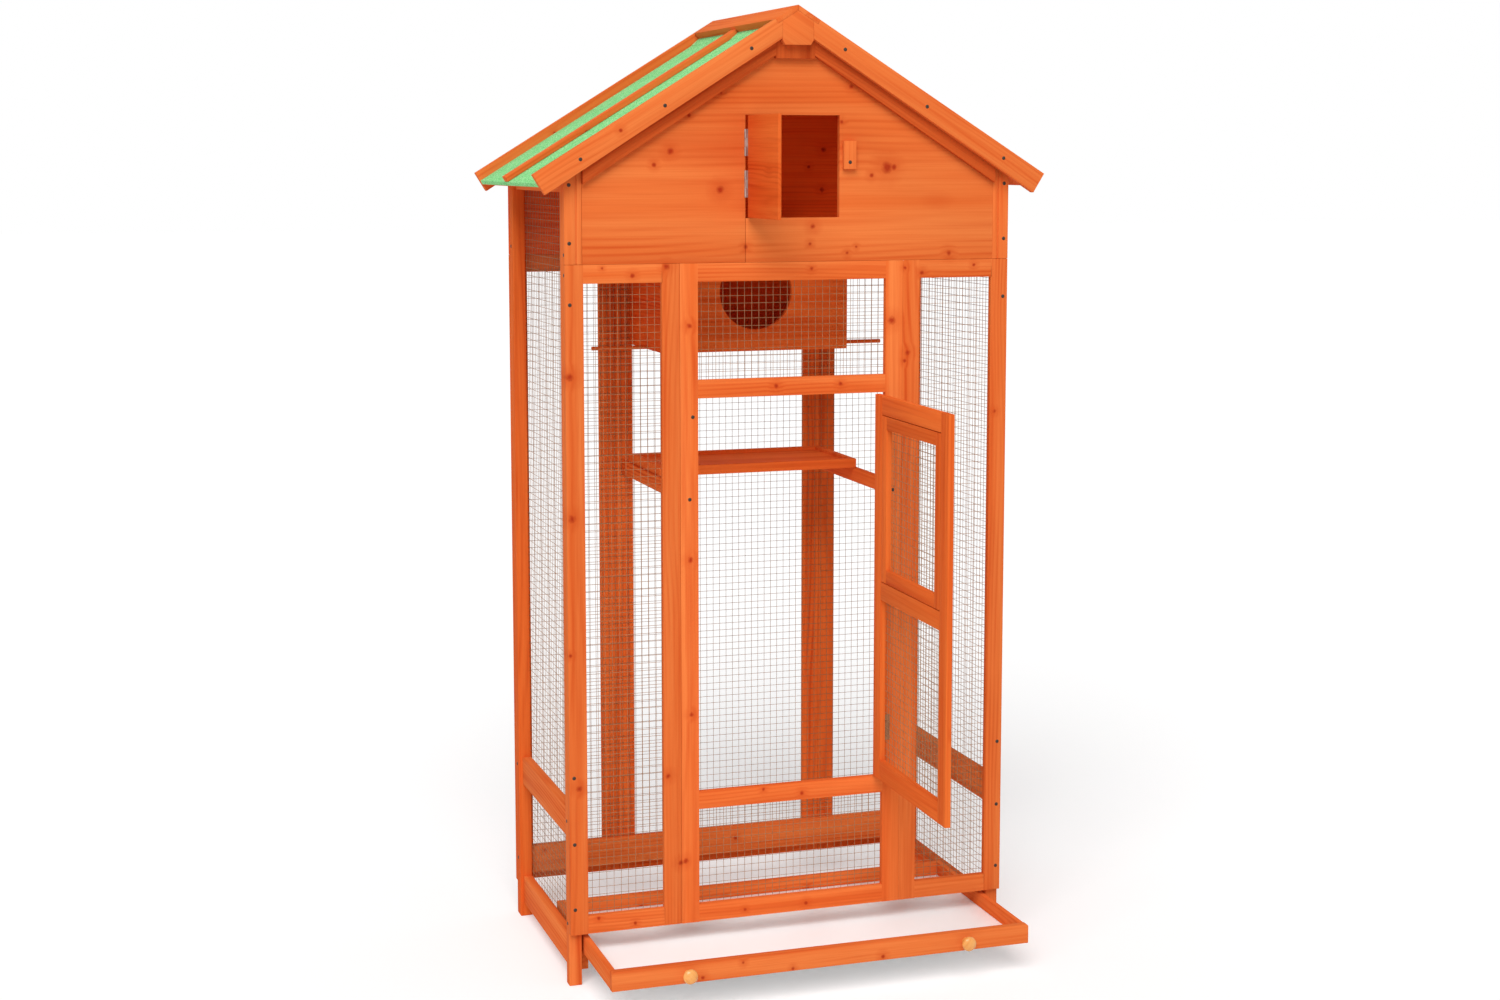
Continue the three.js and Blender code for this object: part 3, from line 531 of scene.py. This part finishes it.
def round_edges(bm, radius, segments=2):
    bmesh.ops.remove_doubles(bm, verts=bm.verts, dist=MERGE)
    bmesh.ops.dissolve_limit(bm, angle_limit=FLAT_ANGLE, verts=bm.verts, edges=bm.edges)
    sharp = [e for e in bm.edges if len(e.link_faces) == 2 and e.calc_face_angle() > SHARP_ANGLE]
    bmesh.ops.bevel(bm, geom=sharp, offset=radius, segments=segments, profile=ROUND_PROFILE,
                    affect="EDGES", clamp_overlap=True)
    bmesh.ops.recalc_face_normals(bm, faces=bm.faces)


def mark_grain(bm, axis, rng, fineness=1.0):
    """Writes the board's own grain coordinates from its pith, its tint and its end faces."""
    grain = bm.verts.layers.float_vector.get("grain") or bm.verts.layers.float_vector.new("grain")
    tint = bm.verts.layers.float.get("tint") or bm.verts.layers.float.new("tint")
    ends = bm.faces.layers.float.get("endgrain") or bm.faces.layers.float.new("endgrain")
    along, across, through = basis(axis)
    middle = sum((vert.co for vert in bm.verts), Vector()) / len(bm.verts)
    shift = Vector((rng.uniform(0, LOG_LENGTH), rng.uniform(-PITH_SIDE, PITH_SIDE) - middle.dot(across),
                    rng.uniform(*PITH_AWAY) - middle.dot(through)))
    tone = rng.uniform(0, 1)
    for vert in bm.verts:
        place = Vector((vert.co.dot(along), vert.co.dot(across), vert.co.dot(through))) + shift
        vert[grain] = place * fineness
        vert[tint] = tone
    for face in bm.faces:
        face[ends] = 1.0 if abs(face.normal.dot(along)) > END_COSINE else 0.0
    return bm


def finished_board(bm, axis, rng, radius=EDGE_ROUND, fineness=1.0):
    round_edges(bm, radius)
    return mark_grain(bm, axis, rng, fineness)


def finish_piece(name, bms, material, body, nodes=(), matrix=None):
    """Joins the bmeshes into one piece, places it, attaches it to its body and hides the nodes it replaces.
    """
    whole = bmesh.new()
    for bm in bms:
        part = bpy.data.meshes.new("part")
        bm.to_mesh(part)
        bm.free()
        whole.from_mesh(part)
        bpy.data.meshes.remove(part)
    if matrix is not None:
        whole.transform(matrix)
    data = bpy.data.meshes.new(name)
    whole.to_mesh(data)
    whole.free()
    data.materials.append(material)
    data.shade_smooth()
    piece = bpy.data.objects.new(name, data)
    bpy.context.scene.collection.objects.link(piece)
    bpy.context.view_layer.objects.active = piece
    data.set_sharp_from_angle(angle=SMOOTH_ANGLE)
    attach(piece, body)
    if nodes:
        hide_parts(*nodes)
    return piece


def box_bm(low, high):
    bm = bmesh.new()
    bmesh.ops.create_cube(bm, size=1)
    size = Vector(high) - Vector(low)
    middle = (Vector(low) + Vector(high)) / 2
    bmesh.ops.transform(bm, verts=bm.verts, matrix=Matrix.Translation(middle) @ Matrix.Diagonal((*size, 1)))
    return bm


def board(low, high, axis, rng, radius=EDGE_ROUND):
    thinnest = min(Vector(high) - Vector(low))
    return finished_board(box_bm(low, high), axis, rng, min(radius, thinnest * ROUND_SHARE))


def node_bm(node, matrix=None):
    """A copy of a CAD node's mesh, brought to the local place that matrix gives."""
    bm = bmesh.new()
    bm.from_mesh(frame["nodes"][node].data)
    if matrix is not None:
        bm.transform(matrix)
    return bm


def planed(node, axis, material=WOOD, radius=EDGE_ROUND, body="cage"):
    """A CAD board with rounded edges and grain along one axis."""
    bm = finished_board(node_bm(node), axis, seeded(node), radius)
    return finish_piece(f"{node}_wood", [bm], material, body, [node])


def local_box(node, matrix):
    """Corners of a CAD node in a turned frame."""
    points = [matrix @ v.co for v in frame["nodes"][node].data.vertices]
    low = Vector(tuple(min(p[i] for p in points) for i in range(3)))
    high = Vector(tuple(max(p[i] for p in points) for i in range(3)))
    return low, high


def cut(bm, point, normal):
    """The part of a solid that lies on the side of a plane that its normal points away from."""
    part = bm.copy()
    made = bmesh.ops.bisect_plane(part, geom=part.verts[:] + part.edges[:] + part.faces[:],
                                  dist=FINE_MERGE, plane_co=point, plane_no=normal, clear_outer=True)
    edges = [item for item in made["geom_cut"] if isinstance(item, bmesh.types.BMEdge)]
    bmesh.ops.triangle_fill(part, use_beauty=True, edges=edges, normal=normal)
    return part


def between(bm, axis, low, high):
    """The slab of a solid between two planes square to an axis."""
    first = cut(bm, axis * high, axis)
    second = cut(first, axis * low, -axis)
    first.free()
    return second


def joined(bm, axis, places, grains, rng, radius=EDGE_ROUND, nudge=CUT_NUDGE):
    """Three boards cut from one solid along an axis, each with its own grain direction.

    The cuts are nudged into the middle board, because the outer boards' faces lie in their planes.
    """
    stops = [-BEYOND, places[0] + nudge, places[1] - nudge, BEYOND]
    boards = [
        finished_board(between(bm, axis, low, high), grain, rng, radius)
        for low, high, grain in zip(stops, stops[1:], grains)
    ]
    bm.free()
    return boards


def add_frames():
    for wall in ("front", "rear"):
        # The rear frames take the shaded fir, a copy with painted shade
        material, slot = (WOOD, "stained_wood") if wall == "front" else (SHADE_PAINTED_FIR, "inner_wood")
        for place in ("left", "center", "right"):
            node = f"{wall}_frame_{place}"
            low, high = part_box(node)
            boards = joined(node_bm(node), X_AXIS, [low.x + MEMBER, high.x - MEMBER],
                            [Z_AXIS, X_AXIS, Z_AXIS], seeded(node))
            finish_piece(f"{node}_boards", boards, material, "cage", [node])


def wires(low, high, flat):
    """Welded net between two corners, flat along one axis: upright wires and level ones against them."""
    other = 0 if flat == 1 else 1
    whole = bmesh.new()

    def rod(start, end):
        along = end - start
        made = bmesh.ops.create_cone(whole, segments=WIRE_SIDES, radius1=WIRE_RADIUS,
                                     radius2=WIRE_RADIUS, depth=along.length, cap_ends=True)
        turn = Z_AXIS.rotation_difference(along).to_matrix().to_4x4()
        centre = Matrix.Translation((start + end) / 2)
        bmesh.ops.transform(whole, verts=made["verts"], matrix=centre @ turn)

    middle = (low[flat] + high[flat]) / 2
    for across, place in ((other, middle - WIRE_RADIUS), (2, middle + WIRE_RADIUS)):
        span = high[across] - low[across] - 2 * WIRE_RADIUS
        count = int(span / WIRE_PITCH)
        first = low[across] + (high[across] - low[across] - count * WIRE_PITCH) / 2
        for i in range(count + 1):
            start, end = Vector(low), Vector(high)
            start[flat] = end[flat] = place
            start[across] = end[across] = first + i * WIRE_PITCH
            rod(start, end)
    return whole


def add_net(node, flat, body="cage", matrix=None):
    """A net of single wires in place of a node; matrix takes the node to where it lies flat."""
    low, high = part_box(node) if matrix is None else local_box(node, matrix)
    back = None if matrix is None else matrix.inverted()
    finish_piece(f"{node}_wires", [wires(low, high, flat)], WIRE, body, [node], back)


def prism(polygons, y0, y1, axis, rng, radius=EDGE_ROUND, fineness=1.0):
    """Upright board whose outline in X and Z is made of polygons that share their corners."""
    bm = bmesh.new()
    for polygon in polygons:
        bm.faces.new([bm.verts.new((x, y0, z)) for x, z in polygon])
    bmesh.ops.remove_doubles(bm, verts=bm.verts, dist=FINE_MERGE)
    made = bmesh.ops.extrude_face_region(bm, geom=bm.faces[:])
    moved = [v for v in made["geom"] if isinstance(v, bmesh.types.BMVert)]
    bmesh.ops.translate(bm, verts=moved, vec=(0, y1 - y0, 0))
    bmesh.ops.recalc_face_normals(bm, faces=bm.faces)
    return finished_board(bm, axis, rng, radius, fineness)


def lathe(profile, segments):
    """Solid of revolution about Z from (radius, height) points that start and end on the axis."""
    bm = bmesh.new()
    verts = [bm.verts.new((r, 0, z)) for r, z in profile]
    edges = [bm.edges.new(pair) for pair in zip(verts, verts[1:])]
    bmesh.ops.spin(bm, geom=verts + edges, axis=Z_AXIS, cent=(0, 0, 0), steps=segments,
                   angle=2 * math.pi, use_merge=True)
    bmesh.ops.remove_doubles(bm, verts=bm.verts, dist=LATHE_MERGE)
    bmesh.ops.recalc_face_normals(bm, faces=bm.faces)
    return bm


def screw_bm(place, normal, radius=SCREW_RADIUS):
    """Low domed screw head with a recess, seated on a face."""
    bm = lathe([(r * radius, z * radius) for r, z in SCREW_DOME], SCREW_SEGMENTS)
    turn = Z_AXIS.rotation_difference(Vector(normal)).to_matrix().to_4x4()
    bm.transform(Matrix.Translation(place) @ turn)
    return bm


def slope_axis(side):
    """Direction of a roof slope, to the right, from the felt's own face."""
    faces = frame["nodes"][f"roof_panel_{side}"].data.polygons
    upward = [face for face in faces if face.normal.z > SLOPE_COSINE]
    normal = max(upward, key=lambda face: face.area).normal
    return Vector((normal.z, 0, -normal.x))


def slope_point(side, along, depth):
    """X and Z of a point at a distance down the slope from the ridge and a depth under the roof's top."""
    hand = 1 if side == "right" else -1
    down = slope_axis(side) * hand
    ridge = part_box(f"ridge_cap_{side}")[1].z
    return along * down.x + depth * hand * down.z, ridge + along * down.z - depth * hand * down.x


def add_roof():
    for side in ("left", "right"):
        slope = slope_axis(side)
        planed(f"barge_front_{side}", slope, TRIM, radius=SEAM_ROUND)
        planed(f"barge_rear_{side}", slope, TRIM)
        planed(f"batten_{side}", slope, TRIM)
        planed(f"ridge_cap_{side}", Y_AXIS, TRIM, radius=SEAM_ROUND)
        panel = planed(f"roof_panel_{side}", slope, FELT, FELT_ROUND)
        # The panel's underside is fir, in the shaded copy with painted shade
        panel.data.materials.append(SHADE_PAINTED_FIR)
        for face in panel.data.polygons:
            if face.normal.z < UNDERSIDE_COSINE:
                face.material_index = 1
        low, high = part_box(f"roof_panel_{side}")
        strips = (("ridge_lath", RIDGE_LATH, TRIM, "stained_wood"),
                  ("ridge_felt", RIDGE_FELT, FELT, "roof_felt"))
        for name, outline, material, finish in strips:
            lap = [slope_point(side, along, depth) for along, depth in outline]
            strip = prism([lap], low.y, high.y, Y_AXIS, seeded(f"{name}_{side}"), SEAM_ROUND)
            finish_piece(f"{name}_{side}", [strip], material, "cage", ())
    planed("king_block", slope_axis("right"), TRIM, radius=SEAM_ROUND)


def add_cabin():
    add_frames()
    for side in ("left", "right"):
        planed(f"post_front_{side}", Z_AXIS)
        # The rear posts take the shaded fir, a copy with painted shade
        planed(f"post_rear_{side}", Z_AXIS, SHADE_PAINTED_FIR)
        planed(f"mid_rail_{side}", Y_AXIS)
        planed(f"eave_rail_{side}", Y_AXIS)
        planed(f"base_rail_{side}", Y_AXIS)
        planed(f"gable_stile_{side}", Z_AXIS)
    planed("base_rail_rear", X_AXIS, WOOD)
    # The rear gable takes the nest's deeper red fir, with painted shade
    planed("gable_rear", X_AXIS, NEST_FIR_SHADE_PAINTED)
    # The rafters take a darker fir with painted shade from the barges' overhang
    rafters = joined(node_bm("gable_rafter"), X_AXIS, [-GUSSET_HALF, GUSSET_HALF],
                     [slope_axis("left"), Z_AXIS, slope_axis("right")], seeded("gable_rafter"),
                     SEAM_ROUND, -CUT_NUDGE)
    finish_piece("gable_rafter_boards", rafters, RAFTER_FIR_SHADE_PAINTED, "cage", ["gable_rafter"])
    for node in ("net_front_left", "net_front_right", "net_center_upper", "net_center_lower", "net_rear"):
        add_net(node, 1)
    for node in ("net_side_left", "net_side_right"):
        add_net(node, 0)


def add_gable_front():
    """The front gable board, cut out round its doorway, with the seam that runs down from the doorway."""
    low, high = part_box("gable_front")
    points = [v.co for v in frame["nodes"]["gable_front"].data.vertices]
    eave = max(p.z for p in points if abs(p.x - low.x) < MM)
    door_low, door_high = (corner.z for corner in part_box("gable_door"))
    left, right = GABLE_DOORWAY_X
    foot, top = door_low - GABLE_DOOR_GAP, door_high + GABLE_DOOR_GAP
    outline = [
        (low.x, low.z), (left - GABLE_SEAM, low.z), (left - GABLE_SEAM, foot + GABLE_DOOR_GAP),
        (left, foot + GABLE_DOOR_GAP), (left, top), (right, top), (right, foot), (left + GABLE_SEAM, foot),
        (left + GABLE_SEAM, low.z), (high.x, low.z), (high.x, eave), (0, high.z), (low.x, eave),
    ]
    board_bm = prism([outline], FRONT, FRONT + GABLE_THICK, X_AXIS, seeded("gable_front"), FINE_ROUND,
                     GABLE_FINENESS)
    finish_piece("gable_front_board", [board_bm], WOOD, "cage", ["gable_front"])


def add_inside():
    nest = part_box("nest_shell")
    # The nest's boards take its deeper red fir, and the front, floor, perch, shelf and supports take the
    # shaded fir, both with painted shade
    shell = joined(node_bm("nest_shell"), X_AXIS, [nest[0].x + NEST_BOARD, nest[1].x - NEST_BOARD],
                   [Y_AXIS, X_AXIS, Y_AXIS], seeded("nest_shell"), FINE_ROUND)
    finish_piece("nest_shell_boards", shell, NEST_FIR_SHADE_PAINTED, "cage", ["nest_shell"])
    planed("nest_front", X_AXIS, SHADE_PAINTED_FIR)
    planed("nest_floor", X_AXIS, SHADE_PAINTED_FIR)
    planed("perch", X_AXIS, SHADE_PAINTED_FIR, FINE_ROUND)
    planed("shelf", X_AXIS, SHADE_PAINTED_FIR)
    for side in ("left", "right"):
        planed(f"shelf_support_{side}", Y_AXIS, SHADE_PAINTED_FIR)


def hinge_matrix(joint, angle):
    """Takes a point at rest into the shut door's own frame, with the hinge axis at its origin."""
    place = Vector(JOINTS[joint]["pos_m"])
    return Matrix.Rotation(-angle, 4, "Z") @ Matrix.Translation((-place.x, -place.y, 0))


def rod_bm(low, high, radius):
    """Upright rod with small chamfers, about the Z axis."""
    edge = radius * KNUCKLE_CHAMFER
    return lathe([(0, low), (radius - edge, low), (radius, low + edge), (radius, high - edge),
                  (radius - edge, high), (0, high)], KNUCKLE_SEGMENTS)


def leaf_bm(side, near, far, back, foot, height, screws):
    """Hinge leaf on one side of the axis, its back at a given depth, with a row of screw heads."""
    x0, x1 = sorted((side * near, side * far))
    plate = box_bm((x0, back - LEAF_THICK, foot), (x1, back, foot + height))
    round_edges(plate, LEAF_ROUND, 1)
    heads = [
        screw_bm((side * (near + far) / 2, back - LEAF_THICK, foot + height * (i + 0.5) / screws),
                 -Y_AXIS, min(SCREW_RADIUS, (far - near) * LEAF_SCREW_SHARE))
        for i in range(screws)
    ]
    return [plate, *heads]


def knuckle_bm(side, reach, radius, foot, head):
    """Knuckle round the axis, with the strip that runs from it back to its leaf."""
    x0, x1 = sorted(side * radius * share for share in KNUCKLE_WEB)
    web = box_bm((x0, 0, foot), (x1, reach - LEAF_THICK / 2, head))
    return [rod_bm(foot, head, radius), web]


def hinge_halves(foot, height, reach, radius, leaf_width, backs, fixed_side=1, screws=2):
    """Fixed and moving half of a hinge whose axis is Z, as bmeshes in the shut door's frame."""
    gap = CLEARANCE / 2
    third = height / 3
    knuckles = [[(0, third), (2 * third, height)], [(third, 2 * third)]]
    halves = []
    for half, side in enumerate((fixed_side, -fixed_side)):
        parts = leaf_bm(side, radius + CLEARANCE, leaf_width, backs[half], foot + gap, height - 2 * gap,
                        screws)
        for low, high in knuckles[half]:
            parts += knuckle_bm(side, reach, radius, foot + low + gap, foot + high - gap)
        halves.append(parts)
    return halves


def place_hinge(name, halves, bodies, matrices, nodes=(), material=BRONZED):
    """A hinge's fixed and moving halves, each on its own body."""
    finish_piece(f"{name}_fixed", halves[0], material, bodies[0], nodes, matrices[0])
    finish_piece(f"{name}_moving", halves[1], material, bodies[1], (), matrices[1])


def at_axis(place, angle):
    return Matrix.Translation(place) @ Matrix.Rotation(angle, 4, "Z")


def panel_boards(left, right, face, low, high, rails, stile, rng):
    """Stiles and rails of a shut door leaf, from the box corners and the rails' heights."""
    back = face + DOOR_THICK
    boards = [
        board((left, face, low), (left + stile, back, high), Z_AXIS, rng),
        board((right - stile, face, low), (right, back, high), Z_AXIS, rng),
    ]
    for foot, head in rails:
        boards.append(board((left + stile, face, foot), (right - stile, back, head), X_AXIS, rng))
    return boards


def add_main_door():
    axis = Vector(JOINTS["main_door_hinge"]["pos_m"])
    face = FRONT - axis.y
    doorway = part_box("front_frame_center")[1].x - MEMBER
    left, right = -doorway + DOOR_GAP - axis.x, doorway - DOOR_GAP - axis.x
    low, high = (corner.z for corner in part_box("door_frame"))
    net_low, net_high = (corner.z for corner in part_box("net_door"))
    hatch_low, hatch_high = (corner.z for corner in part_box("hatch_frame"))
    place = at_axis((axis.x, axis.y, 0), DOOR_ANGLE)
    rails = [(low, net_low + NET_LAP), (net_high - NET_LAP, hatch_low - HATCH_GAP),
             (hatch_high + HATCH_GAP, high)]
    boards = panel_boards(left, right, face, low, high, rails, DOOR_STILE, seeded("door"))
    finish_piece("door_boards", boards, LEAF, "main_door", ["door_frame"], place)

    window_left, window_right = left + DOOR_STILE, right - DOOR_STILE
    boards = panel_boards(window_left + HATCH_GAP, window_right - HATCH_GAP, face, hatch_low, hatch_high,
                          [(hatch_low, hatch_low + HATCH_MEMBER), (hatch_high - HATCH_MEMBER, hatch_high)],
                          HATCH_MEMBER, seeded("hatch"))
    finish_piece("hatch_boards", boards, LEAF, "hatch", ["hatch_frame"], place)

    matrix = hinge_matrix("main_door_hinge", DOOR_ANGLE)
    add_net("net_door", 1, "main_door", matrix)
    add_net("net_hatch", 1, "hatch", matrix)

    rest = at_axis((axis.x, axis.y, 0), 0)
    for name in ("door_hinge_lower", "door_hinge_upper"):
        foot, head = (corner.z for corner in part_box(name))
        halves = hinge_halves(foot, head - foot, face, DOOR_KNUCKLE, DOOR_LEAF, (face - CLEARANCE, face))
        place_hinge(name, halves, ("cage", "main_door"), (rest, place), [name])

    pivot = Vector(JOINTS["hatch_hinge"]["pos_m"])
    hatch_place = at_axis((pivot.x, pivot.y, 0), DOOR_ANGLE)
    for name, foot in (("hatch_hinge_lower", hatch_low + HATCH_HINGE_LOWER),
                       ("hatch_hinge_upper", hatch_high - HATCH_HINGE_UPPER)):
        halves = hinge_halves(foot, HATCH_HINGE_HEIGHT, HATCH_REACH, HATCH_KNUCKLE, HATCH_LEAF,
                              (HATCH_REACH, HATCH_REACH))
        place_hinge(name, halves, ("main_door", "hatch"), (hatch_place, hatch_place))


def add_gable_door():
    axis = Vector(JOINTS["gable_door_hinge"]["pos_m"])
    low, high = (corner.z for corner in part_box("gable_door"))
    place = at_axis((axis.x, axis.y, 0), GABLE_DOOR_ANGLE)
    reach = FRONT - axis.y
    width = GABLE_DOORWAY_X[1] - GABLE_DOORWAY_X[0]
    corner = (width - GABLE_DOOR_GAP, reach + GABLE_DOOR_THICK, high)
    leaf = board((GABLE_DOOR_GAP, reach, low), corner, X_AXIS, seeded("gable_door"), FINE_ROUND)
    # The gable door takes the shaded fir, a copy with painted shade
    finish_piece("gable_door_board", [leaf], SHADE_PAINTED_FIR, "gable_door", ["gable_door"], place)
    rest = at_axis((axis.x, axis.y, 0), 0)
    for level, foot in GABLE_HINGE_FEET:
        halves = hinge_halves(low + foot, GABLE_HINGE_HEIGHT, reach, GABLE_KNUCKLE, GABLE_LEAF,
                              (reach, reach), fixed_side=-1, screws=0)
        place_hinge(f"gable_hinge_{level}", halves, ("cage", "gable_door"), (rest, place), material=STEEL)
    planed("turn_button", Z_AXIS, WOOD, body="turn_button")
    pivot = Vector(JOINTS["turn_button_pivot"]["pos_m"])
    head = screw_bm((pivot.x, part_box("turn_button")[0].y, pivot.z), -Y_AXIS)
    finish_piece("turn_button_screw", [head], SCREW, "turn_button", ())


def add_tray():
    planed("tray_front", X_AXIS, WOOD, body="tray")
    low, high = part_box("tray_rim")
    sheet = [corner.z + sign * CLEARANCE for corner, sign in zip(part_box("tray_sheet"), (-1, 1))]
    inner = TRAY_SIDE - TRAY_REBATE
    groove = [(TRAY_SIDE, high.z), (0, high.z), (0, low.z), (TRAY_SIDE, low.z), (TRAY_SIDE, sheet[0]),
              (inner, sheet[0]), (inner, sheet[1]), (TRAY_SIDE, sheet[1])]
    rng = seeded("tray_rim")
    left = prism([[(low.x + x, z) for x, z in groove]], low.y, high.y, Y_AXIS, rng)
    right = prism([[(high.x - x, z) for x, z in groove]], low.y, high.y, Y_AXIS, rng)
    length = high.x - low.x - 2 * TRAY_SIDE
    back = prism([[(-x, z) for x, z in groove]], 0, length, Y_AXIS, rng)
    corner = Matrix.Translation((high.x - TRAY_SIDE, high.y, 0))
    back.transform(corner @ Matrix.Rotation(QUARTER_TURN, 4, "Z"))
    finish_piece("tray_rim_boards", [left, right, back], WOOD, "tray", ["tray_rim"])
    planed("tray_sheet", X_AXIS, SHEET, FINE_ROUND, "tray")
    for side in ("left", "right"):
        node = f"knob_{side}"
        low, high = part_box(node)
        seat = Matrix.Translation(((low.x + high.x) / 2, high.y, (low.z + high.z) / 2))
        turn = seat @ Matrix.Rotation(QUARTER_TURN, 4, "X")
        knob = lathe([(r * MM, z * MM) for r, z in KNOB_PROFILE], KNOB_SEGMENTS)
        mark_grain(knob, Z_AXIS, seeded(node))
        finish_piece(f"{node}_turned", [knob], KNOB, "tray", [node], turn)


def add_screws():
    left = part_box("front_frame_left")[0].x
    barge_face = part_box("barge_front_left")[0].y
    heads = [screw_bm((left + x * MM, FRONT, z * MM), -Y_AXIS) for x, z in POST_SCREWS + STILE_SCREWS]
    heads += [screw_bm((left + x * MM, barge_face, z * MM), -Y_AXIS) for x, z in BARGE_SCREWS]
    for side in (-1, 1):
        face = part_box("front_frame_right")[1].x * side
        heads += [screw_bm((face, FRONT + y * MM, z * MM), X_AXIS * side) for y, z in SIDE_SCREWS]
    finish_piece("screws", heads, SCREW, "cage", ())


def add_stage():
    """Pale floor, white surroundings and soft light at a plain level."""
    bm = bmesh.new()
    bmesh.ops.create_grid(bm, x_segments=1, y_segments=1, size=FLOOR_HALF)
    data = bpy.data.meshes.new("floor")
    bm.to_mesh(data)
    bm.free()
    n = Nodes("floor")
    seen = n.add("ShaderNodeLightPath").outputs["Is Camera Ray"]
    n.set(Base_Color=n.mix(seen, FLOOR_BOUNCE, FLOOR_SEEN), Roughness=FLOOR_ROUGH, Specular_IOR_Level=0.0)
    n.set(Emission_Color=WHITE, Emission_Strength=n.math("MULTIPLY", seen, FLOOR_LIFT))
    data.materials.append(n.material)
    floor = bpy.data.objects.new("floor", data)
    floor.location.z = -FLOOR_DROP
    bpy.context.scene.collection.objects.link(floor)

    world = bpy.data.worlds.new("world")
    bpy.context.scene.world = world
    world.use_nodes = True
    tree = world.node_tree
    light = tree.nodes["Background"]
    light.inputs["Color"].default_value = WHITE
    light.inputs["Strength"].default_value = AMBIENT
    seen = tree.nodes.new("ShaderNodeBackground")
    seen.inputs["Color"].default_value = WHITE
    seen.inputs["Strength"].default_value = 1.0
    path = tree.nodes.new("ShaderNodeLightPath")
    either = tree.nodes.new("ShaderNodeMath")
    either.operation = "MAXIMUM"
    tree.links.new(path.outputs["Is Camera Ray"], either.inputs[0])
    tree.links.new(path.outputs["Is Glossy Ray"], either.inputs[1])
    mix = tree.nodes.new("ShaderNodeMixShader")
    tree.links.new(either.outputs[0], mix.inputs["Fac"])
    tree.links.new(light.outputs[0], mix.inputs[1])
    tree.links.new(seen.outputs[0], mix.inputs[2])
    tree.links.new(mix.outputs[0], tree.nodes["World Output"].inputs["Surface"])

    sun = bpy.data.lights.new("sun", "SUN")
    sun.energy = SUN_STRENGTH
    sun.angle = SUN_ANGLE
    lamp = bpy.data.objects.new("sun", sun)
    lamp.rotation_mode = "QUATERNION"
    lamp.rotation_quaternion = Vector(SUN_FROM).to_track_quat("Z", "Y")
    bpy.context.scene.collection.objects.link(lamp)


add_camera()
add_roof()
add_cabin()
add_gable_front()
add_inside()
add_main_door()
add_gable_door()
add_tray()
add_screws()
add_stage()
bpy.context.scene.view_settings.view_transform = "Standard"
